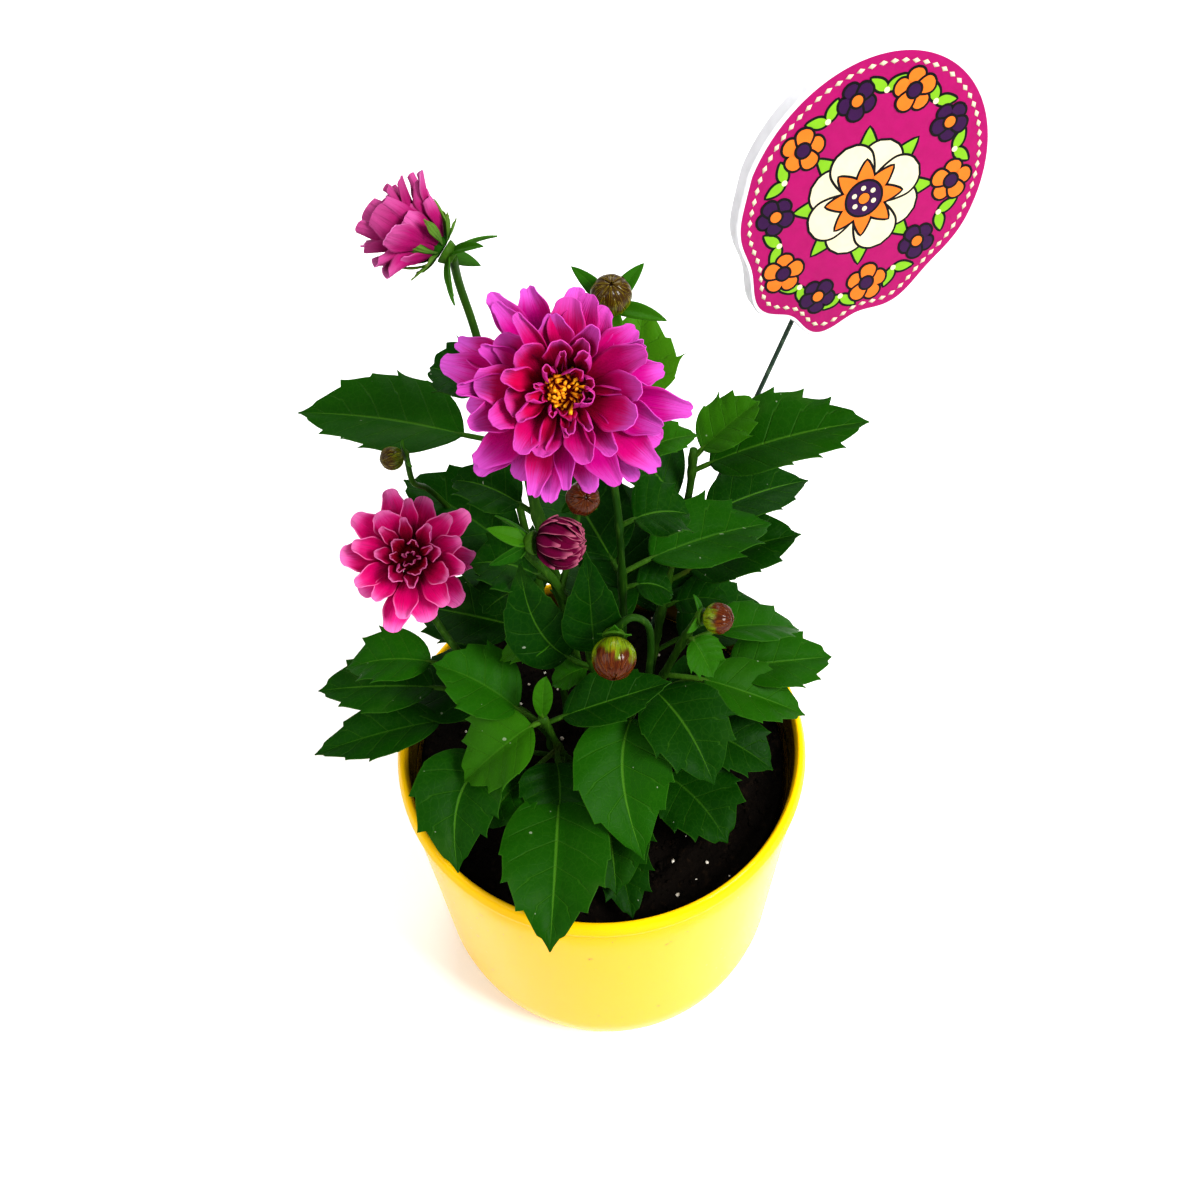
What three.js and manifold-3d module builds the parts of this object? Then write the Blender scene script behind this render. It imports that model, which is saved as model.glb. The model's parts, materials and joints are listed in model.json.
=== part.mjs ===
// A potted dahlia: a glazed cover pot filled with soil, leafy stems with toothed leaves,
// three blooms, an opening bud, five round buds and a decorative pick on a wire.
// Millimetres, +Z up. The origin is the centre of the pot's base.
import * as THREE from "three";
import { mergeVertices } from "three/addons/utils/BufferGeometryUtils.js";
import Module from "manifold-3d";

const wasm = await Module();
wasm.setup();

const GAP = 0.3; // clearance between pieces that touch
const SHORTEST_EDGE = 0.04;
const THINNEST_TRIANGLE = 0.01;
const UP = new THREE.Vector3(0, 0, 1);
const VIEWER = new THREE.Vector3(0, -0.7, 0.7); // the side that the blooms turn to

// The pot
const POT_HEIGHT = 130;
const RIM_RADIUS = 70; // outside of the rolled lip
const WALL = 3.6;
const FLOOR = 6;
const FOOT_RADIUS = 52;
const LIP_HEIGHT = 7;
const POT_SIDES = 30;

// The soil
const SOIL_LEVEL = 118;
const SOIL_SIDES = 20;
const STEM_FOOT = 98; // height of the buried stem ends

// Leaves and petals
const BLADE = 0.8; // thickness
const PETIOLE_RADIUS = 0.9;
const FOLD = 0.3; // rise of a leaf's edge over its midrib, as a share of its half width

const at = (x, y, z) => new THREE.Vector3(x, y, z);
const degrees = THREE.MathUtils.degToRad;

// Solids, joined and cut

function solid(geometry) {
  const bare = geometry.clone();
  bare.deleteAttribute("normal");
  bare.deleteAttribute("uv");
  const merged = mergeVertices(bare, 1e-4);
  return new wasm.Manifold(
    new wasm.Mesh({
      numProp: 3,
      vertProperties: merged.attributes.position.array,
      triVerts: new Uint32Array(merged.index.array),
    }),
  );
}

function geometryOf(body) {
  const mesh = body.getMesh();
  const geometry = new THREE.BufferGeometry();
  geometry.setAttribute("position", new THREE.BufferAttribute(mesh.vertProperties, 3));
  geometry.setIndex(new THREE.BufferAttribute(mesh.triVerts, 1));
  geometry.computeVertexNormals();
  return geometry;
}

// Joins leave edges and triangles too thin for a STEP file to keep. The ends of each short
// edge are drawn together, and a triangle that is almost a line gives its long edge up to
// its third corner. The surface stays closed.
function withoutSlivers(geometry) {
  const { position } = geometry.attributes;
  const points = [];
  for (let i = 0; i < position.count; i += 1) {
    points.push(at(position.getX(i), position.getY(i), position.getZ(i)));
  }
  let faces = [];
  for (let i = 0; i < geometry.index.count; i += 3) {
    faces.push([0, 1, 2].map((corner) => geometry.index.getX(i + corner)));
  }
  const with2 = (a, b) => faces.filter((face) => face.includes(a) && face.includes(b));
  const around = (vertex) => new Set(faces.filter((face) => face.includes(vertex)).flat());
  const closes = (a, b) => {
    const near = around(a);
    return [...around(b)].filter((vertex) => near.has(vertex)).length === 4;
  };
  const edges = (face) => [0, 1, 2].map((i) => [face[i], face[(i + 1) % 3], face[(i + 2) % 3]]);
  const length = ([a, b]) => points[a].distanceTo(points[b]);

  const shortEdge = () => {
    for (const face of faces) {
      const edge = edges(face).find((one) => length(one) < SHORTEST_EDGE && closes(...one));
      if (edge) return edge;
    }
    return null;
  };
  for (let edge = shortEdge(); edge; edge = shortEdge()) {
    const [kept, gone] = edge;
    faces = faces
      .map((face) => face.map((vertex) => (vertex === gone ? kept : vertex)))
      .filter(([a, b, c]) => a !== b && b !== c && c !== a);
  }

  for (const face of [...faces]) {
    if (!faces.includes(face)) continue;
    const [a, b, c] = edges(face).sort((one, other) => length(other) - length(one))[0];
    const foot = new THREE.Line3(points[a], points[b]).closestPointToPoint(points[c], true, at(0, 0, 0));
    if (foot.distanceTo(points[c]) > THINNEST_TRIANGLE) continue;
    const other = with2(a, b).find((one) => one !== face);
    const d = other.find((vertex) => vertex !== a && vertex !== b);
    if (with2(c, d).length) continue;
    faces = faces.filter((one) => one !== face && one !== other);
    faces.push([c, a, d], [c, d, b]);
  }

  const closed = new THREE.BufferGeometry();
  closed.setAttribute("position", position);
  closed.setIndex(faces.flat());
  return mergeVertices(closed.toNonIndexed(), 1e-5);
}

// Joins solids into one body. A hollow that this seals is filled, and a scrap that holds to
// nothing is dropped.
function joined(geometries) {
  const whole = geometries.map(solid).reduce((sum, piece) => sum.add(piece));
  const [body] = whole.decompose().sort((a, b) => b.volume() - a.volume());
  return withoutSlivers(geometryOf(body));
}

function cut(geometry, tools) {
  return geometryOf(tools.map(solid).reduce((whole, tool) => whole.subtract(tool), solid(geometry)));
}

// Moves a geometry made along +Z to a place, with +Z turned to a direction.
function placed(geometry, place, direction) {
  const turn = new THREE.Quaternion().setFromUnitVectors(UP, direction.clone().normalize());
  return geometry.applyQuaternion(turn).translate(place.x, place.y, place.z);
}

function node(name, geometry, color, roughness, metalness = 0) {
  const mesh = new THREE.Mesh(
    geometry,
    new THREE.MeshStandardMaterial({ color, roughness, metalness }),
  );
  mesh.name = name;
  return mesh;
}

// A rod with flat ends along a curve.
function rod(curve, radius, sides, steps) {
  const section = new THREE.Shape();
  for (let i = 0; i < sides; i += 1) {
    const angle = (2 * Math.PI * i) / sides;
    section[i ? "lineTo" : "moveTo"](radius * Math.cos(angle), radius * Math.sin(angle));
  }
  return new THREE.ExtrudeGeometry(section, { steps, bevelEnabled: false, extrudePath: curve });
}

// A thin closed solid over rows of three points: left edge, midrib, right edge.
// Both faces are split into the same triangles.
function plate(rows) {
  const points = [];
  for (const side of [1, -1]) {
    for (const { left, middle, right, normal, thickness = BLADE } of rows) {
      for (const point of [left, middle, right]) {
        points.push(point.clone().addScaledVector(normal, (side * thickness) / 2));
      }
    }
  }
  const under = rows.length * 3;
  const index = [];
  const quad = (a, b, c, d) => index.push(a, b, c, a, c, d);
  for (let row = 0; row < rows.length - 1; row += 1) {
    const a = row * 3;
    quad(a, a + 1, a + 4, a + 3);
    quad(a + 1, a + 2, a + 5, a + 4);
    index.push(under + a, under + a + 4, under + a + 1, under + a, under + a + 3, under + a + 4);
    index.push(under + a + 1, under + a + 5, under + a + 2);
    index.push(under + a + 1, under + a + 4, under + a + 5);
    quad(a, a + 3, under + a + 3, under + a);
    quad(a + 2, under + a + 2, under + a + 5, a + 5);
  }
  const last = (rows.length - 1) * 3;
  for (const column of [0, 1]) {
    quad(column, under + column, under + column + 1, column + 1);
    const a = last + column;
    quad(a, a + 1, under + a + 1, under + a);
  }
  const geometry = new THREE.BufferGeometry().setFromPoints(points);
  geometry.setIndex(index);
  return geometry;
}

// A smooth outline along a blade: 0 at both ends and 1 where it is widest.
function outline(s, rise, fall) {
  const widest = rise / (rise + fall);
  const shape = (t) => Math.pow(t, rise) * Math.pow(1 - t, fall);
  return shape(s) / shape(widest);
}

// Leaves

// A leaf grows from a point, arches, and ends in a sharp tip. Its edge has forward teeth.
function leaf(start, { tip, width, petiole = 9, arch = 7, bend, roll = 0, teeth = 2, face = UP }) {
  const middle = bend ?? start.clone().lerp(tip, 0.5).addScaledVector(UP, arch);
  const midrib = new THREE.QuadraticBezierCurve3(start, middle, tip);
  const bladeStart = petiole / midrib.getLength();
  const stalk = { s: 0, out: 0, thickness: 2 * PETIOLE_RADIUS };
  const stations = [];
  if (petiole > 2) stations.push({ ...stalk, u: 0 });
  if (petiole > 13) stations.push({ ...stalk, u: bladeStart * 0.55 });
  stations.push({ s: 0, out: 0, thickness: 1.4 }, { s: 0.13, out: 1 });
  for (let tooth = 1; tooth <= teeth; tooth += 1) {
    const point = 0.14 + (0.64 * tooth) / teeth;
    stations.push({ s: point, out: 1.12 });
    if (tooth < teeth) stations.push({ s: point + 0.07, out: 0.9 });
  }
  stations.push({ s: 1, out: 0 });
  const rows = stations.map(({ s, out, thickness, u: given }, index) => {
    const u = given ?? bladeStart + (1 - bladeStart) * s;
    const point = midrib.getPoint(u);
    const along = midrib.getTangent(u);
    const side = along.clone().cross(face).normalize().applyAxisAngle(along, degrees(roll));
    const normal = side.clone().cross(along).normalize();
    const least = s === 0 ? PETIOLE_RADIUS : 0.25;
    const half = Math.max((width / 2) * outline(s, 0.62, 1.05) * out, least);
    const wave = 0.06 * half * Math.sin(2.1 * index + width);
    const edge = (direction, lift) =>
      point
        .clone()
        .addScaledVector(side, direction * half)
        .addScaledVector(normal, half * FOLD + lift)
        .addScaledVector(along, s > 0 && s < 1 ? half * 0.12 : 0);
    return { left: edge(-1, wave), middle: point, right: edge(1, -wave), normal, thickness };
  });
  return plate(rows);
}

// A ring of small pointed bracts round a stem's end.
function bracts(centre, axis, { count, length, width, spread, root = 1, turn = 0 }) {
  const side = axis.clone().cross(Math.abs(axis.x) < 0.9 ? at(1, 0, 0) : UP).normalize();
  const pieces = [];
  for (let i = 0; i < count; i += 1) {
    const angle = degrees(turn) + (2 * Math.PI * i) / count;
    const out = side.clone().applyAxisAngle(axis, angle);
    const along = out
      .clone()
      .multiplyScalar(Math.sin(degrees(spread)))
      .addScaledVector(axis, Math.cos(degrees(spread)));
    const rows = [0, 0.45, 1].map((s) => {
      const half = s === 1 ? 0.25 : s === 0 ? width * 0.2 : width / 2;
      const across = along.clone().cross(axis).normalize();
      const normal = across.clone().cross(along).normalize();
      const middle = centre
        .clone()
        .addScaledVector(along, root + s * length)
        .addScaledVector(normal, -0.16 * length * s * s);
      return {
        left: middle.clone().addScaledVector(across, -half),
        middle,
        right: middle.clone().addScaledVector(across, half),
        normal,
      };
    });
    pieces.push(plate(rows));
  }
  return pieces;
}

// Leafy stems

function pointAtHeight(curve, height) {
  let low = 0;
  let high = 1;
  for (let i = 0; i < 30; i += 1) {
    const middle = (low + high) / 2;
    if (curve.getPoint(middle).z < height) low = middle;
    else high = middle;
  }
  return curve.getPoint(low);
}

// One leafy stem: it leaves its hole in the soil upright, bends through its points, and
// carries its leaves, side stalks, calyx cups and bracts.
function leafyStem({ foot, bends, radius, leaves = [], stalks = [], cups = [], collars = [] }) {
  const curve = new THREE.CatmullRomCurve3([
    at(foot[0], foot[1], STEM_FOOT),
    at(foot[0], foot[1], SOIL_LEVEL + 2),
    at(foot[0], foot[1], SOIL_LEVEL + 8),
    ...bends,
  ]);
  const pieces = [rod(curve, radius, 5, 3 + 2 * bends.length)];
  for (const { from, ...shape } of leaves) pieces.push(leaf(pointAtHeight(curve, from), shape));
  for (const { from, through, thickness } of stalks) {
    const stalk = new THREE.CatmullRomCurve3([pointAtHeight(curve, from), ...through]);
    pieces.push(rod(stalk, thickness, 5, 5));
  }
  for (const { top, axis, mouth, depth, stalk } of cups) {
    const cup = new THREE.CylinderGeometry(mouth, stalk, depth, 8).rotateX(Math.PI / 2);
    pieces.push(placed(cup.translate(0, 0, -depth / 2), top, axis));
  }
  for (const { centre, axis, ...shape } of collars) pieces.push(...bracts(centre, axis, shape));
  return joined(pieces);
}

// Blooms and buds, made along +Z with their base at the origin

// A petal leaves the core at a height, rises by its pitch, and curls towards its tip.
function petal({ angle, rootRadius, rootHeight, pitch, length, width, curl, cup, tipWidth }) {
  const out = at(Math.cos(angle), Math.sin(angle), 0);
  const across = at(-Math.sin(angle), Math.cos(angle), 0);
  const stations = pitch > 30 ? [0, 0.6, 1] : [0, 0.38, 0.78, 1];
  const shares = { 0: 0.2, 0.38: 0.62, 0.6: 0.95, 0.78: 1, 1: tipWidth };
  const rows = stations.map((s) => {
    const lean = degrees(pitch + curl * s);
    const along = out.clone().multiplyScalar(Math.cos(lean)).addScaledVector(UP, Math.sin(lean));
    const normal = UP.clone().multiplyScalar(Math.cos(lean)).addScaledVector(out, -Math.sin(lean));
    const middle = at(0, 0, rootHeight)
      .addScaledVector(out, rootRadius)
      .addScaledVector(along, s * length);
    const half = (width / 2) * shares[s];
    const lift = half * cup * (s === 1 ? 0.6 : 1);
    const edge = (direction) =>
      middle
        .clone()
        .addScaledVector(across, direction * half)
        .addScaledVector(normal, lift)
        .addScaledVector(along, s === 1 ? -0.12 * length : 0);
    return { left: edge(1), middle, right: edge(-1), normal };
  });
  return plate(rows);
}

// Petals in rings round a domed core.
function petalHead({ coreRadius, coreHeight, rings, recess = 0 }) {
  const profile = new THREE.Path();
  profile.moveTo(0, 0);
  profile.lineTo(coreRadius * 0.7, 0);
  profile.lineTo(coreRadius, coreHeight * 0.35);
  profile.lineTo(Math.max(recess, coreRadius * 0.5), coreHeight);
  profile.lineTo(0, coreHeight);
  const pieces = [new THREE.LatheGeometry(profile.getPoints(), 12)];
  pieces[0].rotateX(Math.PI / 2);
  for (const ring of rings) {
    for (let i = 0; i < ring.count; i += 1) {
      const angle = degrees(ring.turn ?? 0) + (2 * Math.PI * i) / ring.count;
      const even = i % 2 ? 1 : -1;
      pieces.push(
        petal({
          ...ring,
          angle,
          pitch: ring.pitch + 3 * even,
          length: ring.length * (1 + 0.05 * even),
        }),
      );
    }
  }
  return joined(pieces);
}

// A round bud: its overlapping scales stand out as ridges that meet at the tip.
function bud(radius, ridges, relief) {
  const geometry = new THREE.SphereGeometry(radius, 2 * ridges, 6).rotateX(Math.PI / 2);
  const position = geometry.attributes.position;
  for (let i = 0; i < position.count; i += 1) {
    const point = at(position.getX(i), position.getY(i), position.getZ(i));
    const round = Math.atan2(point.y, point.x);
    const waist = Math.hypot(point.x, point.y) / radius;
    point.multiplyScalar(1 + relief * waist * Math.cos(ridges * round));
    position.setXYZ(i, point.x, point.y, point.z);
  }
  return geometry.translate(0, 0, radius);
}

function openingBud(radius) {
  const pieces = [bud(radius, 9, 0.09)];
  for (let i = 0; i < OPENING_RING.count; i += 1) {
    pieces.push(petal({ ...OPENING_RING, angle: (2 * Math.PI * i) / OPENING_RING.count }));
  }
  return joined(pieces);
}

function turnedTo(mesh, place, axis) {
  mesh.position.copy(place);
  mesh.quaternion.setFromUnitVectors(UP, axis.clone().normalize());
  return mesh;
}

// The pot: a turned wall with a rolled lip, a groove under it and a flat foot

function potGeometry() {
  const lipBottom = POT_HEIGHT - LIP_HEIGHT;
  const profile = new THREE.Path();
  profile.moveTo(0, 0);
  profile.lineTo(FOOT_RADIUS, 0);
  profile.quadraticCurveTo(FOOT_RADIUS + 9.5, 2, FOOT_RADIUS + 12.5, 26);
  profile.quadraticCurveTo(RIM_RADIUS - 4, 60, RIM_RADIUS - 1.5, lipBottom - 12);
  profile.lineTo(RIM_RADIUS - 2.6, lipBottom);
  profile.quadraticCurveTo(RIM_RADIUS + 1.2, lipBottom + 3, RIM_RADIUS - 1.2, POT_HEIGHT - 0.6);
  profile.lineTo(RIM_RADIUS - 2, POT_HEIGHT);
  profile.lineTo(RIM_RADIUS - WALL, POT_HEIGHT - 1);
  profile.lineTo(RIM_RADIUS - WALL - 1, lipBottom - 4);
  profile.lineTo(FOOT_RADIUS + 10.5, 60);
  profile.lineTo(FOOT_RADIUS + 7.5, 24);
  profile.lineTo(FOOT_RADIUS - 4, FLOOR);
  profile.lineTo(0, FLOOR);
  const stepsPerCurve = 3;
  return new THREE.LatheGeometry(profile.getPoints(stepsPerCurve), POT_SIDES).rotateX(Math.PI / 2);
}

// A six-sided plug along +Z that leaves a clear gap round a rod of this radius.
function holeCutter(radius, length) {
  const across = (radius + GAP) / Math.cos(Math.PI / 6);
  return new THREE.CylinderGeometry(across, across, length, 6)
    .rotateX(Math.PI / 2)
    .translate(0, 0, length / 2);
}

function unevenness(x, y) {
  return 1.3 * Math.sin(0.21 * x + 1) * Math.cos(0.17 * y) + 0.7 * Math.sin(0.45 * x - 0.38 * y);
}

// The soil fills the pot a little below its lip. Its top is uneven.
function soilGeometry(holes) {
  const edge = RIM_RADIUS - WALL - 1 - GAP - 0.5;
  const profile = new THREE.Path();
  profile.moveTo(0, FLOOR + GAP);
  profile.lineTo(FOOT_RADIUS - 5, FLOOR + GAP);
  profile.lineTo(FOOT_RADIUS + 6, 24);
  profile.lineTo(FOOT_RADIUS + 9, 60);
  profile.lineTo(edge - 0.8, SOIL_LEVEL - 6);
  profile.lineTo(edge - 1, SOIL_LEVEL - 1);
  for (const radius of [50, 34, 16, 0]) profile.lineTo(radius, SOIL_LEVEL);
  const geometry = new THREE.LatheGeometry(profile.getPoints(), SOIL_SIDES);
  geometry.rotateX(Math.PI / 2);
  const position = geometry.attributes.position;
  for (let i = 0; i < position.count; i += 1) {
    if (position.getZ(i) < SOIL_LEVEL - 0.01) continue;
    position.setZ(i, SOIL_LEVEL + unevenness(position.getX(i), position.getY(i)));
  }
  return cut(geometry, holes);
}

// Where each bloom and bud sits on its stem, and where it faces

const HEADS = {
  main: { base: at(-6, 17, 281), axis: at(0.02, -0.7, 0.71) },
  rearLeft: { base: at(-36.5, 52, 300), axis: at(-0.82, 0.34, 0.46) },
  left: { base: at(-57.5, 28, 198.5), axis: at(0.13, -0.61, 0.78) },
  opening: { base: at(-15.5, 0.5, 238), axis: at(0.96, -0.2, 0.2) },
  brown: { base: at(-3, 9, 246), axis: at(0.2, -0.6, 0.77) },
  rear: { base: at(8, 51.5, 278.5), axis: at(0, -0.3, 0.95) },
  nodding: { base: at(5.3, -4.5, 197), axis: at(-0.04, -0.95, -0.3) },
  right: { base: at(33, 0.6, 198.5), axis: at(0.87, -0.38, 0.3) },
  small: { base: at(-55, 35.5, 238), axis: at(-0.81, -0.45, 0.17) },
};
for (const head of Object.values(HEADS)) head.axis.normalize();

// The cup that a head sits in, and the end of the stem inside it.
const cup = ({ base, axis }, mouth, depth, stalk) => ({
  top: base.clone().addScaledVector(axis, -GAP),
  axis,
  mouth,
  depth,
  stalk,
});
const behind = ({ base, axis }, distance) => base.clone().addScaledVector(axis, -distance);
const collar = (head, distance, shape) => ({
  centre: behind(head, distance),
  axis: head.axis,
  ...shape,
});

// The leafy stems, from the left of the pot to its right

const STEMS = {
  stem_left: {
    foot: [-18, 4],
    radius: 1.5,
    bends: [at(-30, 4, 150), at(-44, 10, 169), at(-52.5, 18.5, 181), behind(HEADS.left, 3)],
    cups: [cup(HEADS.left, 4.5, 4, 1.5)],
    collars: [collar(HEADS.left, 2.5, { count: 4, length: 8, width: 4, spread: 100 })],
    leaves: [
      { from: 158, tip: at(-82, 9, 165), width: 20, petiole: 20, arch: 19 },
      { from: 150, tip: at(-93, 8, 154), width: 23, petiole: 25, arch: 12 },
      { from: 136, tip: at(-96, -7, 138), width: 20, petiole: 32, arch: 18 },
      { from: 140, tip: at(-69, 20, 137), width: 30, petiole: 12, arch: 8 },
    ],
  },
  stem_rear_left: {
    foot: [-12, 18],
    radius: 1.5,
    bends: [at(-20, 34, 190), at(-31, 58, 262), at(-34, 57, 284), behind(HEADS.rearLeft, 3)],
    stalks: [
      {
        from: 178,
        through: [
          at(-38, 44, 184),
          at(-47, 48, 200),
          at(-51, 43, 214),
          at(-53.5, 35, 227),
          behind(HEADS.small, 1.2),
        ],
        thickness: 0.9,
      },
    ],
    cups: [cup(HEADS.rearLeft, 3.4, 3.4, 1.6), cup(HEADS.small, 2, 1.6, 1)],
    collars: [
      collar(HEADS.rearLeft, 2, { count: 5, length: 13, width: 4, spread: 112 }),
      collar(HEADS.small, 1.2, { count: 3, length: 4, width: 2.4, spread: 80 }),
    ],
    leaves: [
      { from: 226, tip: at(-91, 66, 226), width: 31, petiole: 13, arch: 3, teeth: 3 },
      { from: 238, tip: at(-46, 57, 252), width: 22, petiole: 6 },
      { from: 182, tip: at(-61, 59, 200), width: 28, petiole: 8, teeth: 3 },
      { from: 176, tip: at(-36, 17, 182), width: 20, petiole: 5, arch: 5 },
      { from: 150, tip: at(-62, 40, 156), width: 30, petiole: 12, arch: 10 },
      { from: 158, tip: at(-42, 66, 168), width: 30, petiole: 10, arch: 8 },
    ],
  },
  stem_main: {
    foot: [-4, 8],
    radius: 2,
    bends: [at(-9, 14, 180), at(-17.5, 24, 243), at(-14, 24, 266), behind(HEADS.main, 5)],
    cups: [cup(HEADS.main, 7.5, 6, 2.2)],
    collars: [collar(HEADS.main, 3.5, { count: 5, length: 10, width: 6, spread: 98, root: 3 })],
    leaves: [
      { from: 222, tip: at(-41, 30, 232), width: 20, petiole: 6 },
      { from: 196, tip: at(-38, 20, 204), width: 24, petiole: 7 },
    ],
  },
  stem_opening_bud: {
    foot: [2, 2],
    radius: 1.6,
    bends: [at(0, 4, 160), at(-10, 8, 205), at(-19, 4, 230), behind(HEADS.opening, 2)],
    stalks: [
      {
        from: 205,
        through: [at(-5, 12, 228), behind(HEADS.brown, 1.5)],
        thickness: 1.1,
      },
    ],
    cups: [cup(HEADS.opening, 3.6, 3, 1.7), cup(HEADS.brown, 2.6, 2, 1.2)],
    collars: [
      collar(HEADS.opening, 1.8, { count: 5, length: 12, width: 5.4, spread: 138 }),
      collar(HEADS.brown, 1.5, { count: 3, length: 5, width: 3, spread: 90 }),
    ],
    leaves: [
      { from: 166, tip: at(-22, 12, 214), bend: at(-19, -2, 184), width: 20, petiole: 14, face: VIEWER },
      { from: 168, tip: at(-2, 10, 221), bend: at(1, -4, 190), width: 18, petiole: 12, face: VIEWER },
      { from: 182, tip: at(-31, 3, 175), width: 12, petiole: 10 },
      { from: 164, tip: at(-15, 1, 162), width: 12, petiole: 3, arch: 4 },
    ],
  },
  stem_rear_bud: {
    foot: [8, 16],
    radius: 1.4,
    bends: [at(9, 20, 180), at(8, 24, 222), at(6, 31, 245), at(8, 46, 270), behind(HEADS.rear, 2)],
    cups: [cup(HEADS.rear, 2.8, 2.2, 1.5)],
    collars: [collar(HEADS.rear, 1.8, { count: 5, length: 15, width: 5.2, spread: 70, turn: 40 })],
    leaves: [
      { from: 238, tip: at(17.5, 62, 268), width: 24, petiole: 20, arch: -6, face: VIEWER },
      { from: 234, tip: at(32, 33, 244), width: 13, petiole: 8 },
      { from: 194, tip: at(58, 41, 192), width: 26, petiole: 10, arch: 9, teeth: 3 },
      { from: 184, tip: at(25, 20, 184), width: 18, petiole: 5 },
      { from: 150, tip: at(-7, 62, 150), width: 28, petiole: 10, arch: 8 },
      { from: 214, tip: at(30, 28, 214), width: 24, petiole: 5 },
      { from: 190, tip: at(-11, 62, 200), width: 29, petiole: 7 },
      { from: 172, tip: at(4, 74, 180), width: 32, petiole: 8, arch: 8 },
    ],
  },
  stem_right_rear: {
    foot: [18, 24],
    radius: 1.5,
    bends: [at(24, 36, 165), at(32, 50, 200), at(33, 53, 216)],
    leaves: [
      { from: 206, tip: at(88, 56, 222), width: 30, petiole: 6, arch: 8, teeth: 3 },
      { from: 212, tip: at(54, 62, 227), width: 19, petiole: 4, arch: 4 },
      { from: 184, tip: at(73, 62, 188), width: 22, petiole: 10 },
      { from: 190, tip: at(6, 60, 216), width: 26, petiole: 5, arch: 5 },
      { from: 166, tip: at(69, 44, 182), width: 27, petiole: 8, teeth: 3 },
      { from: 156, tip: at(45, 30, 164), width: 16, petiole: 5 },
      { from: 140, tip: at(62, 44, 139), width: 29, petiole: 10, arch: 9 },
      { from: 152, tip: at(30, 72, 170), width: 28, petiole: 8, arch: 8 },
      { from: 144, tip: at(22, 62, 146), width: 23, petiole: 8, arch: 7 },
    ],
  },
  stem_right: {
    foot: [16, 4],
    radius: 1.5,
    bends: [at(19, 5, 150), at(27, 3, 182), behind(HEADS.right, 1.8)],
    cups: [cup(HEADS.right, 2.8, 2.2, 1.5)],
    collars: [collar(HEADS.right, 1.6, { count: 3, length: 6, width: 3.4, spread: 90 })],
    leaves: [
      { from: 178, tip: at(68, 22, 158), width: 17, petiole: 14, arch: 14 },
      { from: 150, tip: at(79, 16, 150), width: 25, petiole: 26, arch: 12 },
      { from: 160, tip: at(68, -4, 146), width: 22, petiole: 14, arch: 10 },
      { from: 134, tip: at(57, -17, 133), width: 23, petiole: 18, arch: 14 },
      { from: 186, tip: at(36, -7, 176), width: 13, petiole: 4 },
      { from: 146, tip: at(48, 16, 140), width: 20, petiole: 6, arch: 4 },
    ],
  },
  stem_nodding_bud: {
    foot: [12, -6],
    radius: 1.4,
    bends: [
      at(14, -4, 150),
      at(17, 2, 180),
      at(15.5, 1.5, 195),
      at(10.5, -1.2, 202),
      behind(HEADS.nodding, 2),
    ],
    cups: [cup(HEADS.nodding, 3.6, 2.6, 1.5)],
    collars: [collar(HEADS.nodding, 1.8, { count: 3, length: 5, width: 3.4, spread: 80 })],
    leaves: [
      { from: 163, tip: at(35, -34, 156), width: 28, petiole: 5, arch: 8, teeth: 3 },
      { from: 158, tip: at(12, -52, 142), bend: at(2, -22, 168), width: 30, petiole: 14, teeth: 3 },
      { from: 130, tip: at(40, -41, 129), width: 28, petiole: 16, arch: 8, teeth: 3 },
    ],
  },
  stem_front: {
    foot: [-10, -8],
    radius: 1.3,
    bends: [at(-13, -11, 140), at(-18, -14, 168)],
    leaves: [
      { from: 164, tip: at(-44, -26, 150), width: 27, petiole: 5, arch: 8 },
      { from: 162, tip: at(23, -8, 176), width: 19, petiole: 6, arch: 3 },
      { from: 166, tip: at(-16, -8, 182), width: 6, petiole: 0, teeth: 0, face: VIEWER },
      { from: 158, tip: at(-52, 1, 178), width: 25, petiole: 12, arch: 5 },
      { from: 146, tip: at(-15, -38, 140), width: 25, petiole: 8 },
      { from: 142, tip: at(-39, -37, 138), width: 22, petiole: 14 },
      { from: 138, tip: at(-18, -79, 137), width: 33, petiole: 18, arch: 13, teeth: 3 },
      { from: 132, tip: at(-47, -51, 136), bend: at(-50, -10, 160), width: 28, petiole: 30 },
    ],
  },
  stem_front_low: {
    foot: [0, -18],
    radius: 1.2,
    bends: [at(-2, -21, 138)],
    leaves: [
      { from: 136, tip: at(3, -58, 130), width: 26, petiole: 7, arch: 6 },
      { from: 130, tip: at(8, -63, 122), width: 18, petiole: 16, arch: 4 },
    ],
  },
};

// The blooms

const MAIN_RINGS = [
  { count: 12, turn: 15, rootRadius: 5, rootHeight: 2.4, pitch: 2, curl: -8, length: 26, width: 12 },
  { count: 10, turn: 33, rootRadius: 4.4, rootHeight: 3.6, pitch: 18, curl: 2, length: 22, width: 10.5 },
  { count: 6, turn: 5, rootRadius: 3.8, rootHeight: 4.6, pitch: 38, curl: 10, length: 15, width: 7.6 },
  { count: 5, turn: 27, rootRadius: 3.2, rootHeight: 5, pitch: 55, curl: 14, length: 9, width: 5.4 },
].map((ring) => ({ ...ring, cup: 0.35, tipWidth: 0.3 }));

const LEFT_RINGS = [
  { count: 9, rootRadius: 3.4, rootHeight: 1.6, pitch: 5, curl: 0, length: 18, width: 10.5 },
  { count: 6, turn: 22, rootRadius: 3.4, rootHeight: 3, pitch: 31, curl: 4, length: 13, width: 8 },
  { count: 4, turn: 10, rootRadius: 2.8, rootHeight: 4.4, pitch: 50, curl: 18, length: 7.5, width: 5.5 },
].map((ring) => ({ ...ring, cup: 0.45, tipWidth: 0.55 }));

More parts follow.
